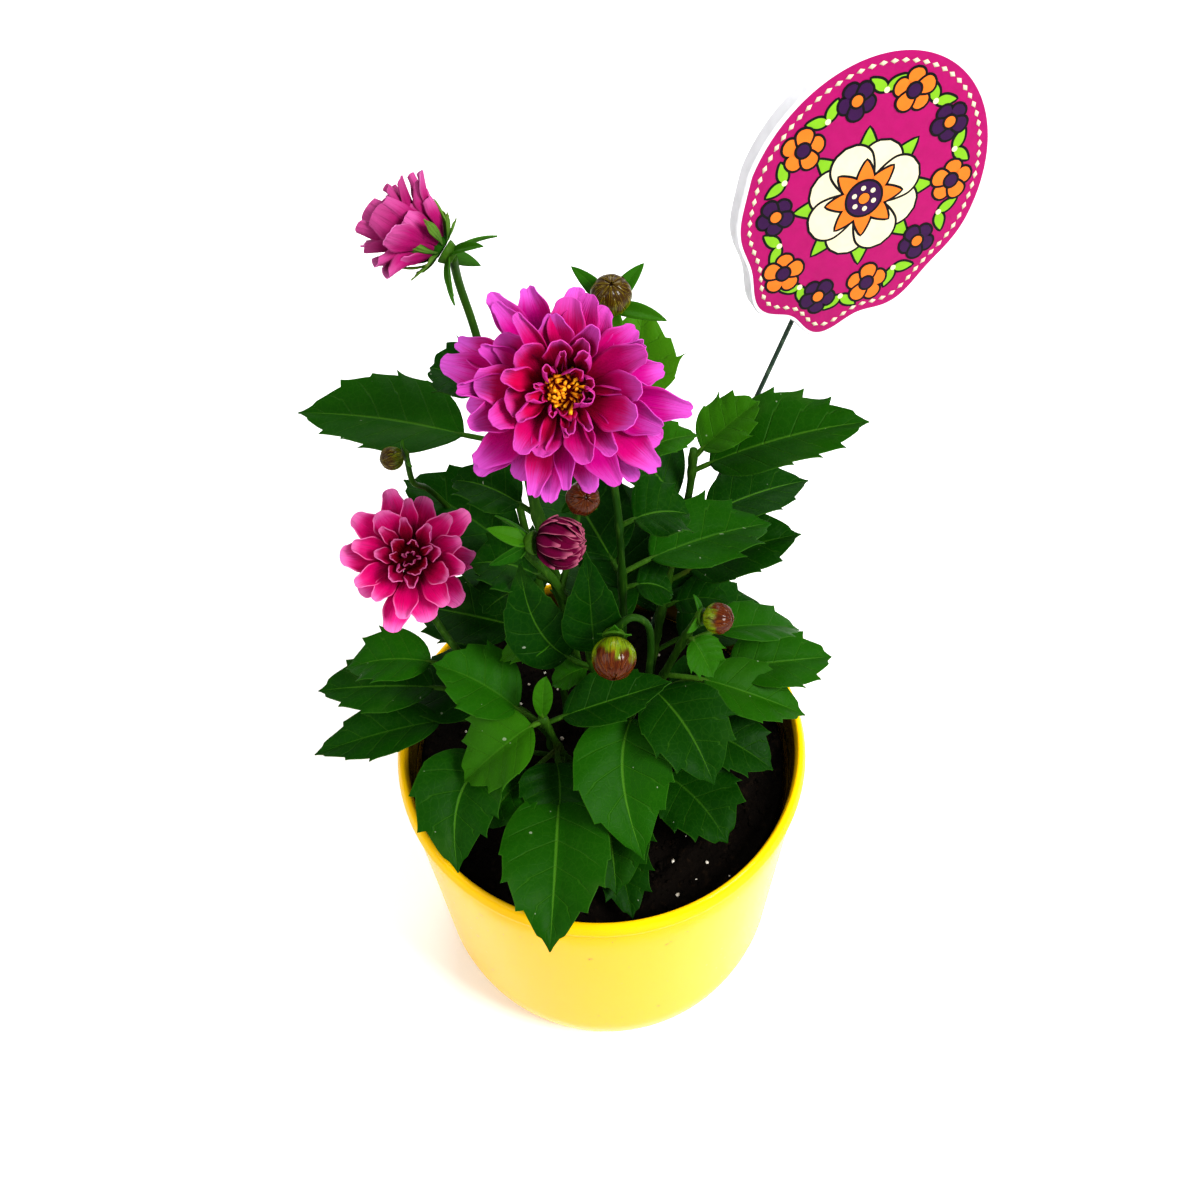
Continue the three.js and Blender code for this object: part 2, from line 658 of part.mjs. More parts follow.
const REAR_RINGS = [
  { count: 7, rootRadius: 2.6, rootHeight: 1.4, pitch: 44, curl: 8, length: 18, width: 8 },
  { count: 5, turn: 22, rootRadius: 2, rootHeight: 2.8, pitch: 62, curl: 4, length: 17, width: 7.5 },
  { count: 3, turn: 10, rootRadius: 1.2, rootHeight: 4, pitch: 77, curl: 2, length: 15, width: 5.5 },
].map((ring) => ({ ...ring, cup: 0.4, tipWidth: 0.45 }));

// The opening bud is a ball of folded petals, in a ring of larger ones that hug it.
const OPENING_RING = {
  count: 5,
  rootRadius: 4.6,
  rootHeight: 1.6,
  pitch: 62,
  curl: 40,
  length: 11,
  width: 7,
  cup: 0.2,
  tipWidth: 0.4,
};

function discGeometry() {
  const profile = new THREE.Path();
  profile.moveTo(0, 0);
  profile.lineTo(3.6, 0);
  profile.quadraticCurveTo(3.8, 2.2, 0, 3);
  const disc = new THREE.LatheGeometry(profile.getPoints(4), 14).rotateX(Math.PI / 2);
  const position = disc.attributes.position;
  for (let i = 0; i < position.count; i += 1) {
    if (position.getZ(i) < 0.4) continue;
    const round = Math.atan2(position.getY(i), position.getX(i));
    const out = Math.min(1, Math.hypot(position.getX(i), position.getY(i)));
    position.setZ(i, position.getZ(i) + 0.45 * out * Math.cos(7 * round));
  }
  return disc;
}

// The decorative pick: an oval board on a wire that stands in the soil

const PICK_FOOT = at(19.3, 52.3, 118);
const PICK_TOP = at(65.7, 84, 241); // where the board starts
const BOARD_WIDTH = 79;
const BOARD_LENGTH = 90;
const BOARD_THICKNESS = 5.5;
const BOARD_TURN = degrees(15); // about the wire, which shows the board's left edge
const WIRE_RADIUS = 0.9;
const WIRE_BURIED = 40;
const WIRE_UP_BOARD = 0.7; // share of the board's length that the wire runs up its back

function boardGeometry() {
  const shape = new THREE.Shape();
  const sides = 44;
  for (let i = 0; i < sides; i += 1) {
    const angle = (2 * Math.PI * i) / sides;
    const lower = Math.max(0, -Math.sin(angle));
    const lobe = 1 + 0.05 * lower * Math.cos(9 * angle);
    const x = 0.5 * BOARD_WIDTH * lobe * Math.cos(angle) * (1 - 0.1 * lower);
    const y = 0.5 * BOARD_LENGTH * lobe * Math.sin(angle);
    shape[i ? "lineTo" : "moveTo"](x, y);
  }
  return new THREE.ExtrudeGeometry(shape, { depth: BOARD_THICKNESS, bevelEnabled: false });
}

// The object

const object = new THREE.Group();
object.name = "potted_dahlia";

object.add(node("pot", potGeometry(), 0xf2c40c, 0.25));

const holes = Object.values(STEMS).map(({ foot, radius }) =>
  holeCutter(radius, 60).translate(foot[0], foot[1], STEM_FOOT - GAP),
);
const wireDirection = PICK_TOP.clone().sub(PICK_FOOT).normalize();
const wireFoot = PICK_FOOT.clone().addScaledVector(wireDirection, -WIRE_BURIED);
holes.push(
  placed(
    holeCutter(WIRE_RADIUS, 80),
    wireFoot.clone().addScaledVector(wireDirection, -GAP),
    wireDirection,
  ),
);
object.add(node("soil", soilGeometry(holes), 0x17120e, 0.95));

for (const [name, stem] of Object.entries(STEMS)) object.add(node(name, leafyStem(stem), 0x1f6b1c, 0.5));

const mainBloom = petalHead({ coreRadius: 6.5, coreHeight: 8, rings: MAIN_RINGS, recess: 4 });
const leftBloom = petalHead({ coreRadius: 4.5, coreHeight: 5.5, rings: LEFT_RINGS });
const rearLeftBloom = petalHead({ coreRadius: 3.4, coreHeight: 6, rings: REAR_RINGS });
const blooms = [
  ["petals_main", HEADS.main, mainBloom, 0xb3188f],
  ["petals_left", HEADS.left, leftBloom, 0xe0218a],
  ["petals_rear_left", HEADS.rearLeft, rearLeftBloom, 0xcc2f93],
  ["petals_opening_bud", HEADS.opening, openingBud(7), 0x8a1f6d],
];
for (const [name, { base, axis }, geometry, color] of blooms) {
  object.add(turnedTo(node(name, geometry, color, 0.55), base, axis));
}
object.add(
  turnedTo(
    node("disc_main", discGeometry(), 0xf0a010, 0.7),
    HEADS.main.base.clone().addScaledVector(HEADS.main.axis, 8 + GAP),
    HEADS.main.axis,
  ),
);

const buds = [
  ["bud_under_main", HEADS.brown, 4.6, 7],
  ["bud_rear", HEADS.rear, 5.6, 7],
  ["bud_nodding", HEADS.nodding, 6.6, 8],
  ["bud_right", HEADS.right, 4.6, 7],
  ["bud_small", HEADS.small, 3.4, 6],
];
for (const [name, { base, axis }, radius, ridges] of buds) {
  object.add(turnedTo(node(name, bud(radius, ridges, 0.07), 0x7a3a1e, 0.3), base, axis));
}

const pick = new THREE.Group();
pick.position.copy(wireFoot);
pick.quaternion.setFromUnitVectors(UP, wireDirection);
pick.rotateZ(BOARD_TURN);
const boardStart = PICK_TOP.distanceTo(wireFoot);
const wireLength = boardStart + WIRE_UP_BOARD * BOARD_LENGTH;
const wire = new THREE.CylinderGeometry(WIRE_RADIUS, WIRE_RADIUS, wireLength, 8)
  .rotateX(Math.PI / 2)
  .translate(0, 0, wireLength / 2);
pick.add(node("pick_wire", wire, 0x14241a, 0.6));
const board = node("pick_board", boardGeometry(), 0xc2187b, 0.4);
board.position.set(0, -WIRE_RADIUS - GAP, boardStart + BOARD_LENGTH / 2);
board.rotation.x = Math.PI / 2;
pick.add(board);
object.add(pick);

export default object;
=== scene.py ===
"""A potted dahlia in a yellow glazed pot, with a decorative pick standing in its soil.

Each piece follows the layout of the part's solids, in millimetres, with finer shapes and its finish.
"""

import json
import math

import bpy
import numpy as np
from mathutils import Matrix, Vector

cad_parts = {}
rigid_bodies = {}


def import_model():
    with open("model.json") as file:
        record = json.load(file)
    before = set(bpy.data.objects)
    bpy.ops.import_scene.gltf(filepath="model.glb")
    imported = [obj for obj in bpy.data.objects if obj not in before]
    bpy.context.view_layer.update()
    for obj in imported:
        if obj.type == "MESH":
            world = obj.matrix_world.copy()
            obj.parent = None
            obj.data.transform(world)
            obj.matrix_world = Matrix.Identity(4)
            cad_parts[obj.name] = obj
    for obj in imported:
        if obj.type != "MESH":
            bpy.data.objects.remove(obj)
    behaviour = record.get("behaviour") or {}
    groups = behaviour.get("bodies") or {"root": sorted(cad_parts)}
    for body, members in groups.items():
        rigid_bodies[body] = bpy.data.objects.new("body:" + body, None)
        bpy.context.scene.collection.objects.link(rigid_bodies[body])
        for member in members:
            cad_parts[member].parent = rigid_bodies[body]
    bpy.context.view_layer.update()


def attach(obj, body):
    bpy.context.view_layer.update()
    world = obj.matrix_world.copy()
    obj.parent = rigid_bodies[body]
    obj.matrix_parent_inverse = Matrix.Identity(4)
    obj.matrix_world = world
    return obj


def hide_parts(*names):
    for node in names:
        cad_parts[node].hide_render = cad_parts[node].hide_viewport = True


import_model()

# The view
# The photograph looks down on the plant from in front, a little tilted.

MM = 0.001
CAMERA_PLACE = (1.6, -243.9, 546.1)
CAMERA_PITCH = 54.02
CAMERA_ROLL = -2.3

view_data = bpy.data.cameras.new("view")
view_data.lens = 42
view_data.sensor_width = 36
view = bpy.data.objects.new("view", view_data)
bpy.context.scene.collection.objects.link(view)
view.matrix_world = (
    Matrix.Translation(Vector(CAMERA_PLACE) * MM)
    @ Matrix.Rotation(math.radians(90 - CAMERA_PITCH), 4, "X")
    @ Matrix.Rotation(math.radians(CAMERA_ROLL), 4, "Z")
)
bpy.context.scene.camera = view


# The pot
# A cast cover pot with a rolled lip, a groove under it and a flat foot. It is dipped in a
# thick yellow glaze, which breaks thin over the lip. The groove and the inner wall above the
# soil are painted darker, as painted shade.

POT_HEIGHT = 130
RIM_RADIUS = 70
FOOT_RADIUS = 52
FLOOR = 6
LIP_BOTTOM = 123
POT_SIDES = 160
INNER_SHADE_FROM = 114
GLAZE = (0.78, 0.42, 0.001, 1)
GLAZE_GROOVE_SHADE = (0.56, 0.22, 0.001, 1)
GLAZE_THIN = (0.82, 0.50, 0.001, 1)
GLAZE_SPECK = (0.30, 0.13, 0.02, 1)
INNER_WALL_SHADE = (0.035, 0.026, 0.003, 1)


class Value:
    """A node's output that takes part in Python arithmetic."""

    def __init__(self, graph, socket):
        self.graph = graph
        self.socket = socket

    def worked(self, operation, *terms):
        return self.graph.node("ShaderNodeMath", {"operation": operation}, dict(enumerate(terms)))

    def __add__(self, other):
        return self.worked("ADD", self, other)

    def __radd__(self, other):
        return self.worked("ADD", other, self)

    def __sub__(self, other):
        return self.worked("SUBTRACT", self, other)

    def __rsub__(self, other):
        return self.worked("SUBTRACT", other, self)

    def __mul__(self, other):
        return self.worked("MULTIPLY", self, other)

    def __rmul__(self, other):
        return self.worked("MULTIPLY", other, self)

    def __truediv__(self, other):
        return self.worked("DIVIDE", self, other)

    def __mod__(self, other):
        return self.worked("MODULO", self, other)

    def __pow__(self, power):
        return self.worked("POWER", self, power)

    def __gt__(self, limit):
        return self.worked("GREATER_THAN", self, limit)

    def __abs__(self):
        return self.worked("ABSOLUTE", self)

    def sine(self):
        return self.worked("SINE", self)

    def cosine(self):
        return self.worked("COSINE", self)

    def fraction(self):
        return self.worked("FRACT", self)

    def at_least(self, other):
        return self.worked("MAXIMUM", self, other)

    def rises(self, low, high):
        """0 below low, 1 above high, and smooth between. It falls where low is above high."""
        ends = (low, high, 0, 1) if low < high else (high, low, 1, 0)
        return self.graph.node(
            "ShaderNodeMapRange", {"interpolation_type": "SMOOTHSTEP"}, dict(enumerate((self, *ends)))
        )


class Graph:
    """A node tree, for a finish or for Geometry Nodes."""

    def __init__(self, tree):
        self.tree = tree

    def node(self, kind, settings=None, values=None, output=0):
        made = self.tree.nodes.new(kind)
        for name, setting in (settings or {}).items():
            setattr(made, name, setting)
        for key, value in (values or {}).items():
            for part in value if isinstance(value, list) else [value]:
                if isinstance(part, Value):
                    self.tree.links.new(part.socket, made.inputs[key])
                else:
                    made.inputs[key].default_value = part
        return Value(self, made.outputs[output])

    def vector(self, *terms):
        return self.node("ShaderNodeCombineXYZ", None, dict(enumerate(terms)))

    def parts(self, vector):
        """The three numbers of a vector."""
        split = self.node("ShaderNodeSeparateXYZ", None, {0: vector}).socket.node
        return [Value(self, socket) for socket in split.outputs]


class Finish(Graph):
    """A material that is built on one Principled BSDF."""

    def __init__(self, name, fixed=None):
        self.material = bpy.data.materials.new(name)
        self.material.use_nodes = True
        super().__init__(self.material.node_tree)
        self.surface = self.tree.nodes["Principled BSDF"]
        for label, value in (fixed or {}).items():
            self.surface.inputs[label].default_value = value

    def feed(self, label, value):
        self.tree.links.new(value.socket, self.surface.inputs[label])

    def place(self):
        return self.node("ShaderNodeTexCoord", output="Object")

    def marks(self, label):
        """The three numbers that the mesh carries under a label."""
        return self.parts(self.node("ShaderNodeAttribute", {"attribute_name": label}, output="Vector"))

    def mark(self, label):
        """The one number that the mesh carries under a label."""
        return self.node("ShaderNodeAttribute", {"attribute_name": label}, output="Fac")

    def noise(self, vector, scale, detail=2.0):
        return self.node("ShaderNodeTexNoise", None, {"Vector": vector, "Scale": scale, "Detail": detail})

    def mix(self, share, first, second):
        return self.node(
            "ShaderNodeMix", {"data_type": "RGBA"}, {0: share, 6: first, 7: second}, output=2
        )

    def bump(self, height, strength, distance):
        self.feed(
            "Normal",
            self.node(
                "ShaderNodeBump", None, {"Height": height, "Strength": strength, "Distance": distance}
            ),
        )


def new_piece(name, points, faces, finishes, finish_of_face=None, marks=None, edges=()):
    """A smooth mesh object. Points are in millimetres, and marks are vectors at the points."""
    mesh = bpy.data.meshes.new(name)
    mesh.from_pydata((np.asarray(points, float) * MM).tolist(), edges, faces)
    for finish in finishes:
        mesh.materials.append(finish.material)
    if finish_of_face is not None:
        mesh.polygons.foreach_set("material_index", finish_of_face)
    for label, values in (marks or {}).items():
        attribute = mesh.attributes.new(label, "FLOAT_VECTOR", "POINT")
        attribute.data.foreach_set("vector", np.asarray(values, np.float32).ravel())
    mesh.shade_smooth()
    made = bpy.data.objects.new(name, mesh)
    bpy.context.scene.collection.objects.link(made)
    return made


def settle(piece, slot, *nodes):
    """The piece stands for its CAD nodes, which are hidden, and moves with the part. The slot is not used."""
    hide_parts(*nodes)
    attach(piece, "root")


def turned(profile, sides):
    """Points and faces of a profile (radius, height) that starts and ends on the axis."""
    around = np.arange(sides) * 2 * math.pi / sides
    points = [(0, 0, profile[0][1])]
    for radius, height in profile[1:-1]:
        points += [(radius * math.cos(a), radius * math.sin(a), height) for a in around]
    points.append((0, 0, profile[-1][1]))
    faces = []
    for i in range(sides):
        following = (i + 1) % sides
        faces.append((0, 1 + following, 1 + i))
        for ring in range(len(profile) - 3):
            low = 1 + ring * sides
            high = low + sides
            faces.append((low + i, low + following, high + following, high + i))
        last = 1 + (len(profile) - 3) * sides
        faces.append((last + i, last + following, len(points) - 1))
    return points, faces


def bow(start, control, end, steps):
    """Points of a quadratic curve, without its first."""
    return [
        tuple((1 - t) ** 2 * a + 2 * t * (1 - t) * b + t * t * c for a, b, c in zip(start, control, end))
        for t in np.arange(1, steps + 1) / steps
    ]


# The wall's bows run up its outside, over the lip and down into it: control, end and steps of each.
pot_profile = [(0, 0), (FOOT_RADIUS - 1, 0), (FOOT_RADIUS, 0.2)]
for control, end, steps in (
    ((FOOT_RADIUS + 9.5, 2), (FOOT_RADIUS + 12.5, 26), 14),
    ((RIM_RADIUS - 4, 60), (RIM_RADIUS - 1.5, LIP_BOTTOM - 12), 14),
    ((RIM_RADIUS - 1.2, LIP_BOTTOM - 3), (RIM_RADIUS - 2.6, LIP_BOTTOM), 8),
    ((RIM_RADIUS + 1.4, LIP_BOTTOM + 1.2), (RIM_RADIUS - 0.3, LIP_BOTTOM + 4.6), 8),
    ((RIM_RADIUS - 0.9, POT_HEIGHT), (RIM_RADIUS - 2.4, POT_HEIGHT), 6),
    ((RIM_RADIUS - 3.8, POT_HEIGHT - 0.2), (RIM_RADIUS - 4.6, LIP_BOTTOM - 4), 8),
):
    pot_profile += bow(pot_profile[-1], control, end, steps)
pot_profile += [(62.5, 60), (59.5, 24), (56, 12), (50, FLOOR + 0.8), (46, FLOOR), (0, FLOOR)]

glaze = Finish("yellow_glaze", {"Coat Weight": 0.14, "Coat Roughness": 0.04, "Specular IOR Level": 0.03})
place = glaze.place()
x, y, height = (way / MM for way in glaze.parts(place))
within_wall = ((x * x + y * y) ** 0.5).rises(RIM_RADIUS - 3.1, RIM_RADIUS - 3.8)
# The inner wall, from a little below the soil to just under the lip, is painted dark: painted shade.
inside = within_wall * height.rises(POT_HEIGHT - 0.6, POT_HEIGHT - 3.8)
inside = inside * height.rises(INNER_SHADE_FROM, INNER_SHADE_FROM + 1)
cloudy = glaze.noise(place, 14, 3)
# The groove under the lip is painted darker: painted shade.
groove_shade = height.rises(LIP_BOTTOM - 3.5, LIP_BOTTOM - 0.8) * height.rises(LIP_BOTTOM + 1.6, LIP_BOTTOM - 0.2)
over_lip = height.rises(POT_HEIGHT - 3.8, POT_HEIGHT - 0.8)
speckled = glaze.noise(place, 420, 1).rises(0.745, 0.775) * glaze.noise(place, 37, 0).rises(0.5, 0.6)
colour = glaze.mix(cloudy * 0.22, GLAZE, GLAZE_THIN)
colour = glaze.mix(over_lip * 0.5, colour, GLAZE_THIN)
colour = glaze.mix(groove_shade * 0.75, colour, GLAZE_GROOVE_SHADE)
colour = glaze.mix(speckled * 0.7, colour, GLAZE_SPECK)
colour = glaze.mix(inside * (0.86 + cloudy * 0.14), colour, INNER_WALL_SHADE)
glaze.feed("Base Color", colour)
glaze.feed("Roughness", 0.16 + cloudy * 0.1 + speckled * 0.3)
glaze.bump(glaze.noise(place, 90, 2) * 0.7 + glaze.noise(place, 700, 1) * 0.3, 0.12, 0.0008)

pot = new_piece("pot_glazed", *turned(pot_profile, POT_SIDES), [glaze])
settle(pot, "pot_glaze", "pot")


# The soil
# Dark moist potting mix of peat, bark crumbs and white perlite, filled in by hand to a
# little below the lip. It has settled unevenly round the stems.

SOIL_LEVEL = 118
SOIL_EDGE = 64.3
PEAT = (0.0045, 0.003, 0.002, 1)
PEAT_DRY = (0.022, 0.013, 0.007, 1)
PERLITE = (0.72, 0.68, 0.60, 1)
PERLITE_DUSTY = (0.40, 0.35, 0.27, 1)
SOIL_RINGS = 52
SOIL_SIDES = 120

soil_profile = [(0, FLOOR + 0.3), (47, FLOOR + 0.3), (57.6, 24), (60.8, 60)]
soil_profile += [(SOIL_EDGE - 0.9, SOIL_LEVEL - 6), (SOIL_EDGE - 1.1, SOIL_LEVEL - 1.2)]
soil_profile += [(radius, SOIL_LEVEL) for radius in np.linspace(SOIL_EDGE - 2, 1.2, SOIL_RINGS)]
soil_profile += [(0, SOIL_LEVEL)]
soil_points, soil_faces = turned(soil_profile, SOIL_SIDES)
soil_points = np.array(soil_points)
x, y, z = soil_points.T
heaved = 1.3 * np.sin(0.21 * x + 1) * np.cos(0.17 * y) + 0.7 * np.sin(0.45 * x - 0.38 * y)
clods = 0.45 * np.sin(1.1 * x + 0.6 * np.sin(0.9 * y)) * np.sin(1.3 * y + 0.7 * np.cos(0.8 * x))
soil_points[:, 2] += np.where(z > SOIL_LEVEL - 0.01, heaved + clods, 0)

peat = Finish("potting_mix", {"Specular IOR Level": 0.06})
place = peat.place()
crumbly = peat.noise(place, 380, 5)
patchy = peat.noise(place, 60, 2)
peat.feed("Base Color", peat.mix(crumbly.rises(0.52, 0.75) * patchy, PEAT, PEAT_DRY))
peat.feed("Roughness", 0.85 + crumbly * 0.15)
peat.bump(crumbly + peat.noise(place, 130, 3), 0.9, 0.0016)

soil = new_piece("soil_surface", soil_points, soil_faces, [peat])
settle(soil, "soil", "soil")

perlite = Finish("perlite", {"Specular IOR Level": 0.3})
place = perlite.place()
dusty = perlite.noise(place, 500, 3)
perlite.feed("Base Color", perlite.mix(dusty.rises(0.35, 0.65), PERLITE_DUSTY, PERLITE))
perlite.feed("Roughness", 0.75 + dusty * 0.2)
perlite.bump(perlite.noise(place, 1400, 2), 0.6, 0.0004)


class Repeat(Graph):
    """A Geometry Nodes tree with named inputs, which is run once on a piece."""

    def __init__(self, name, inputs):
        super().__init__(bpy.data.node_groups.new(name, "GeometryNodeTree"))
        kinds = {"Count": "NodeSocketInt", "Seed": "NodeSocketInt", "Finish": "NodeSocketMaterial"}
        self.ids = {}
        self.tree.interface.new_socket("Geometry", in_out="INPUT", socket_type="NodeSocketGeometry")
        self.tree.interface.new_socket("Geometry", in_out="OUTPUT", socket_type="NodeSocketGeometry")
        for label in inputs:
            socket = self.tree.interface.new_socket(
                label, in_out="INPUT", socket_type=kinds.get(label, "NodeSocketFloat")
            )
            self.ids[label] = socket.identifier
        self.entry = self.tree.nodes.new("NodeGroupInput")

    def given(self, label):
        return Value(self, self.entry.outputs[label])

    def random(self, low, high, seed):
        return self.node("FunctionNodeRandomValue", None, {2: low, 3: high, 8: seed}, output=1)

    def close(self, instances):
        """Instances become one mesh with its finish."""
        real = self.node("GeometryNodeRealizeInstances", None, {0: instances})
        finished = {"Geometry": real, "Material": self.given("Finish")}
        done = self.node("GeometryNodeSetMaterial", None, finished)
        exit_node = self.tree.nodes.new("NodeGroupOutput")
        self.tree.links.new(done.socket, exit_node.inputs[0])

    def run(self, piece, **inputs):
        """The piece's mesh becomes what the tree makes of it."""
        modifier = piece.modifiers.new("repeat", "NODES")
        modifier.node_group = self.tree
        for label, value in inputs.items():
            modifier[self.ids[label.replace("_", " ").capitalize()]] = value
        graph = bpy.context.evaluated_depsgraph_get()
        made = bpy.data.meshes.new_from_object(
            piece.evaluated_get(graph), preserve_all_data_layers=True, depsgraph=graph
        )
        piece.modifiers.remove(modifier)
        piece.data = made
        made.shade_smooth()
        return piece


# Crumbs lie scattered over the soil, each turned and sized at random.
scatter = Repeat("Scattered crumbs", ["Density", "Smallest", "Largest", "Flatness", "Seed", "Finish"])
given = scatter.given
seed = given("Seed")
normal = scatter.node("GeometryNodeInputNormal")
facing_up = scatter.parts(normal)[2]
height = scatter.parts(scatter.node("GeometryNodeInputPosition"))[2]
on_top = (facing_up > 0.5) * (height > 0.1)
points = scatter.node(
    "GeometryNodeDistributePointsOnFaces",
    None,
    {"Mesh": given("Geometry"), "Selection": on_top, "Density": given("Density"), "Seed": seed},
)
crumb = scatter.node("GeometryNodeMeshIcoSphere", None, {"Radius": 1.0, "Subdivisions": 1})
lumps = scatter.node("ShaderNodeTexNoise", None, {"Scale": 1.6, "Detail": 2.0}) - 0.55
lumpy = scatter.node("ShaderNodeVectorMath", {"operation": "SCALE"}, {0: normal, "Scale": lumps})
crumb = scatter.node("GeometryNodeSetPosition", None, {0: crumb, "Offset": lumpy})
size = scatter.random(given("Smallest"), given("Largest"), seed + 1)
turns = [scatter.random(0.0, 6.28, seed + 2 + axis) for axis in range(3)]
crumbs = scatter.node(
    "GeometryNodeInstanceOnPoints",
    None,
    {
        "Points": points,
        "Instance": crumb,
        "Rotation": scatter.vector(turns[0] * 0.12, turns[1] * 0.12, turns[2]),
        "Scale": scatter.vector(
            size * scatter.random(0.7, 1.3, seed + 5), size, size * given("Flatness")
        ),
    },
)
scatter.close(crumbs)

for name, finish, density, smallest, largest, flatness, start in (
    ("soil_crumbs", peat, 70000, 0.5, 1.5, 0.6, 11),
    ("soil_perlite", perlite, 5500, 0.3, 1.05, 0.75, 29),
):
    ground = new_piece(name, soil_points, soil_faces, [finish])
    scatter.run(
        ground,
        density=float(density),
        smallest=smallest * MM,
        largest=largest * MM,
        flatness=flatness,
        seed=start,
        finish=finish.material,
    )
    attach(ground, "root")


# The leafy stems
# Each stem rises from the soil, bends towards the light and carries toothed leaves on long
# stalks. A flower stem ends in a small green cup with a collar of bracts.

STEM_FOOT = 98
UP = (0, 0, 1)
VIEWER = (0, -0.7, 0.7)
LEAF_FOLD = 0.3
LEAF_THICKNESS = 0.5
STALK_RADIUS = 0.9
CUP_GAP = 0.3

# Each flower and bud: the place of its base, on its stem, and the way it faces.
SEATS = {
    "main": ((-6, 17, 281), (0.02, -0.7, 0.71)),
    "rear_left": ((-36.5, 52, 300), (-0.82, 0.34, 0.46)),
    "left": ((-57.5, 28, 198.5), (0.13, -0.61, 0.78)),
    "opening": ((-15.5, 0.5, 238), (0.96, -0.2, 0.2)),
    "brown": ((-3, 9, 246), (0.2, -0.6, 0.77)),
    "rear": ((8, 51.5, 278.5), (0, -0.3, 0.95)),
    "nodding": ((5.3, -4.5, 197), (-0.04, -0.95, -0.3)),
    "right": ((33, 0.6, 198.5), (0.87, -0.38, 0.3)),
    "small": ((-55, 35.5, 238), (-0.81, -0.45, 0.17)),
}
HEADS = {name: (Vector(base), Vector(axis).normalized()) for name, (base, axis) in SEATS.items()}


def behind(name, distance):
    """A point on a head's axis, behind its base."""
    base, axis = HEADS[name]
    return tuple(base - axis * distance)
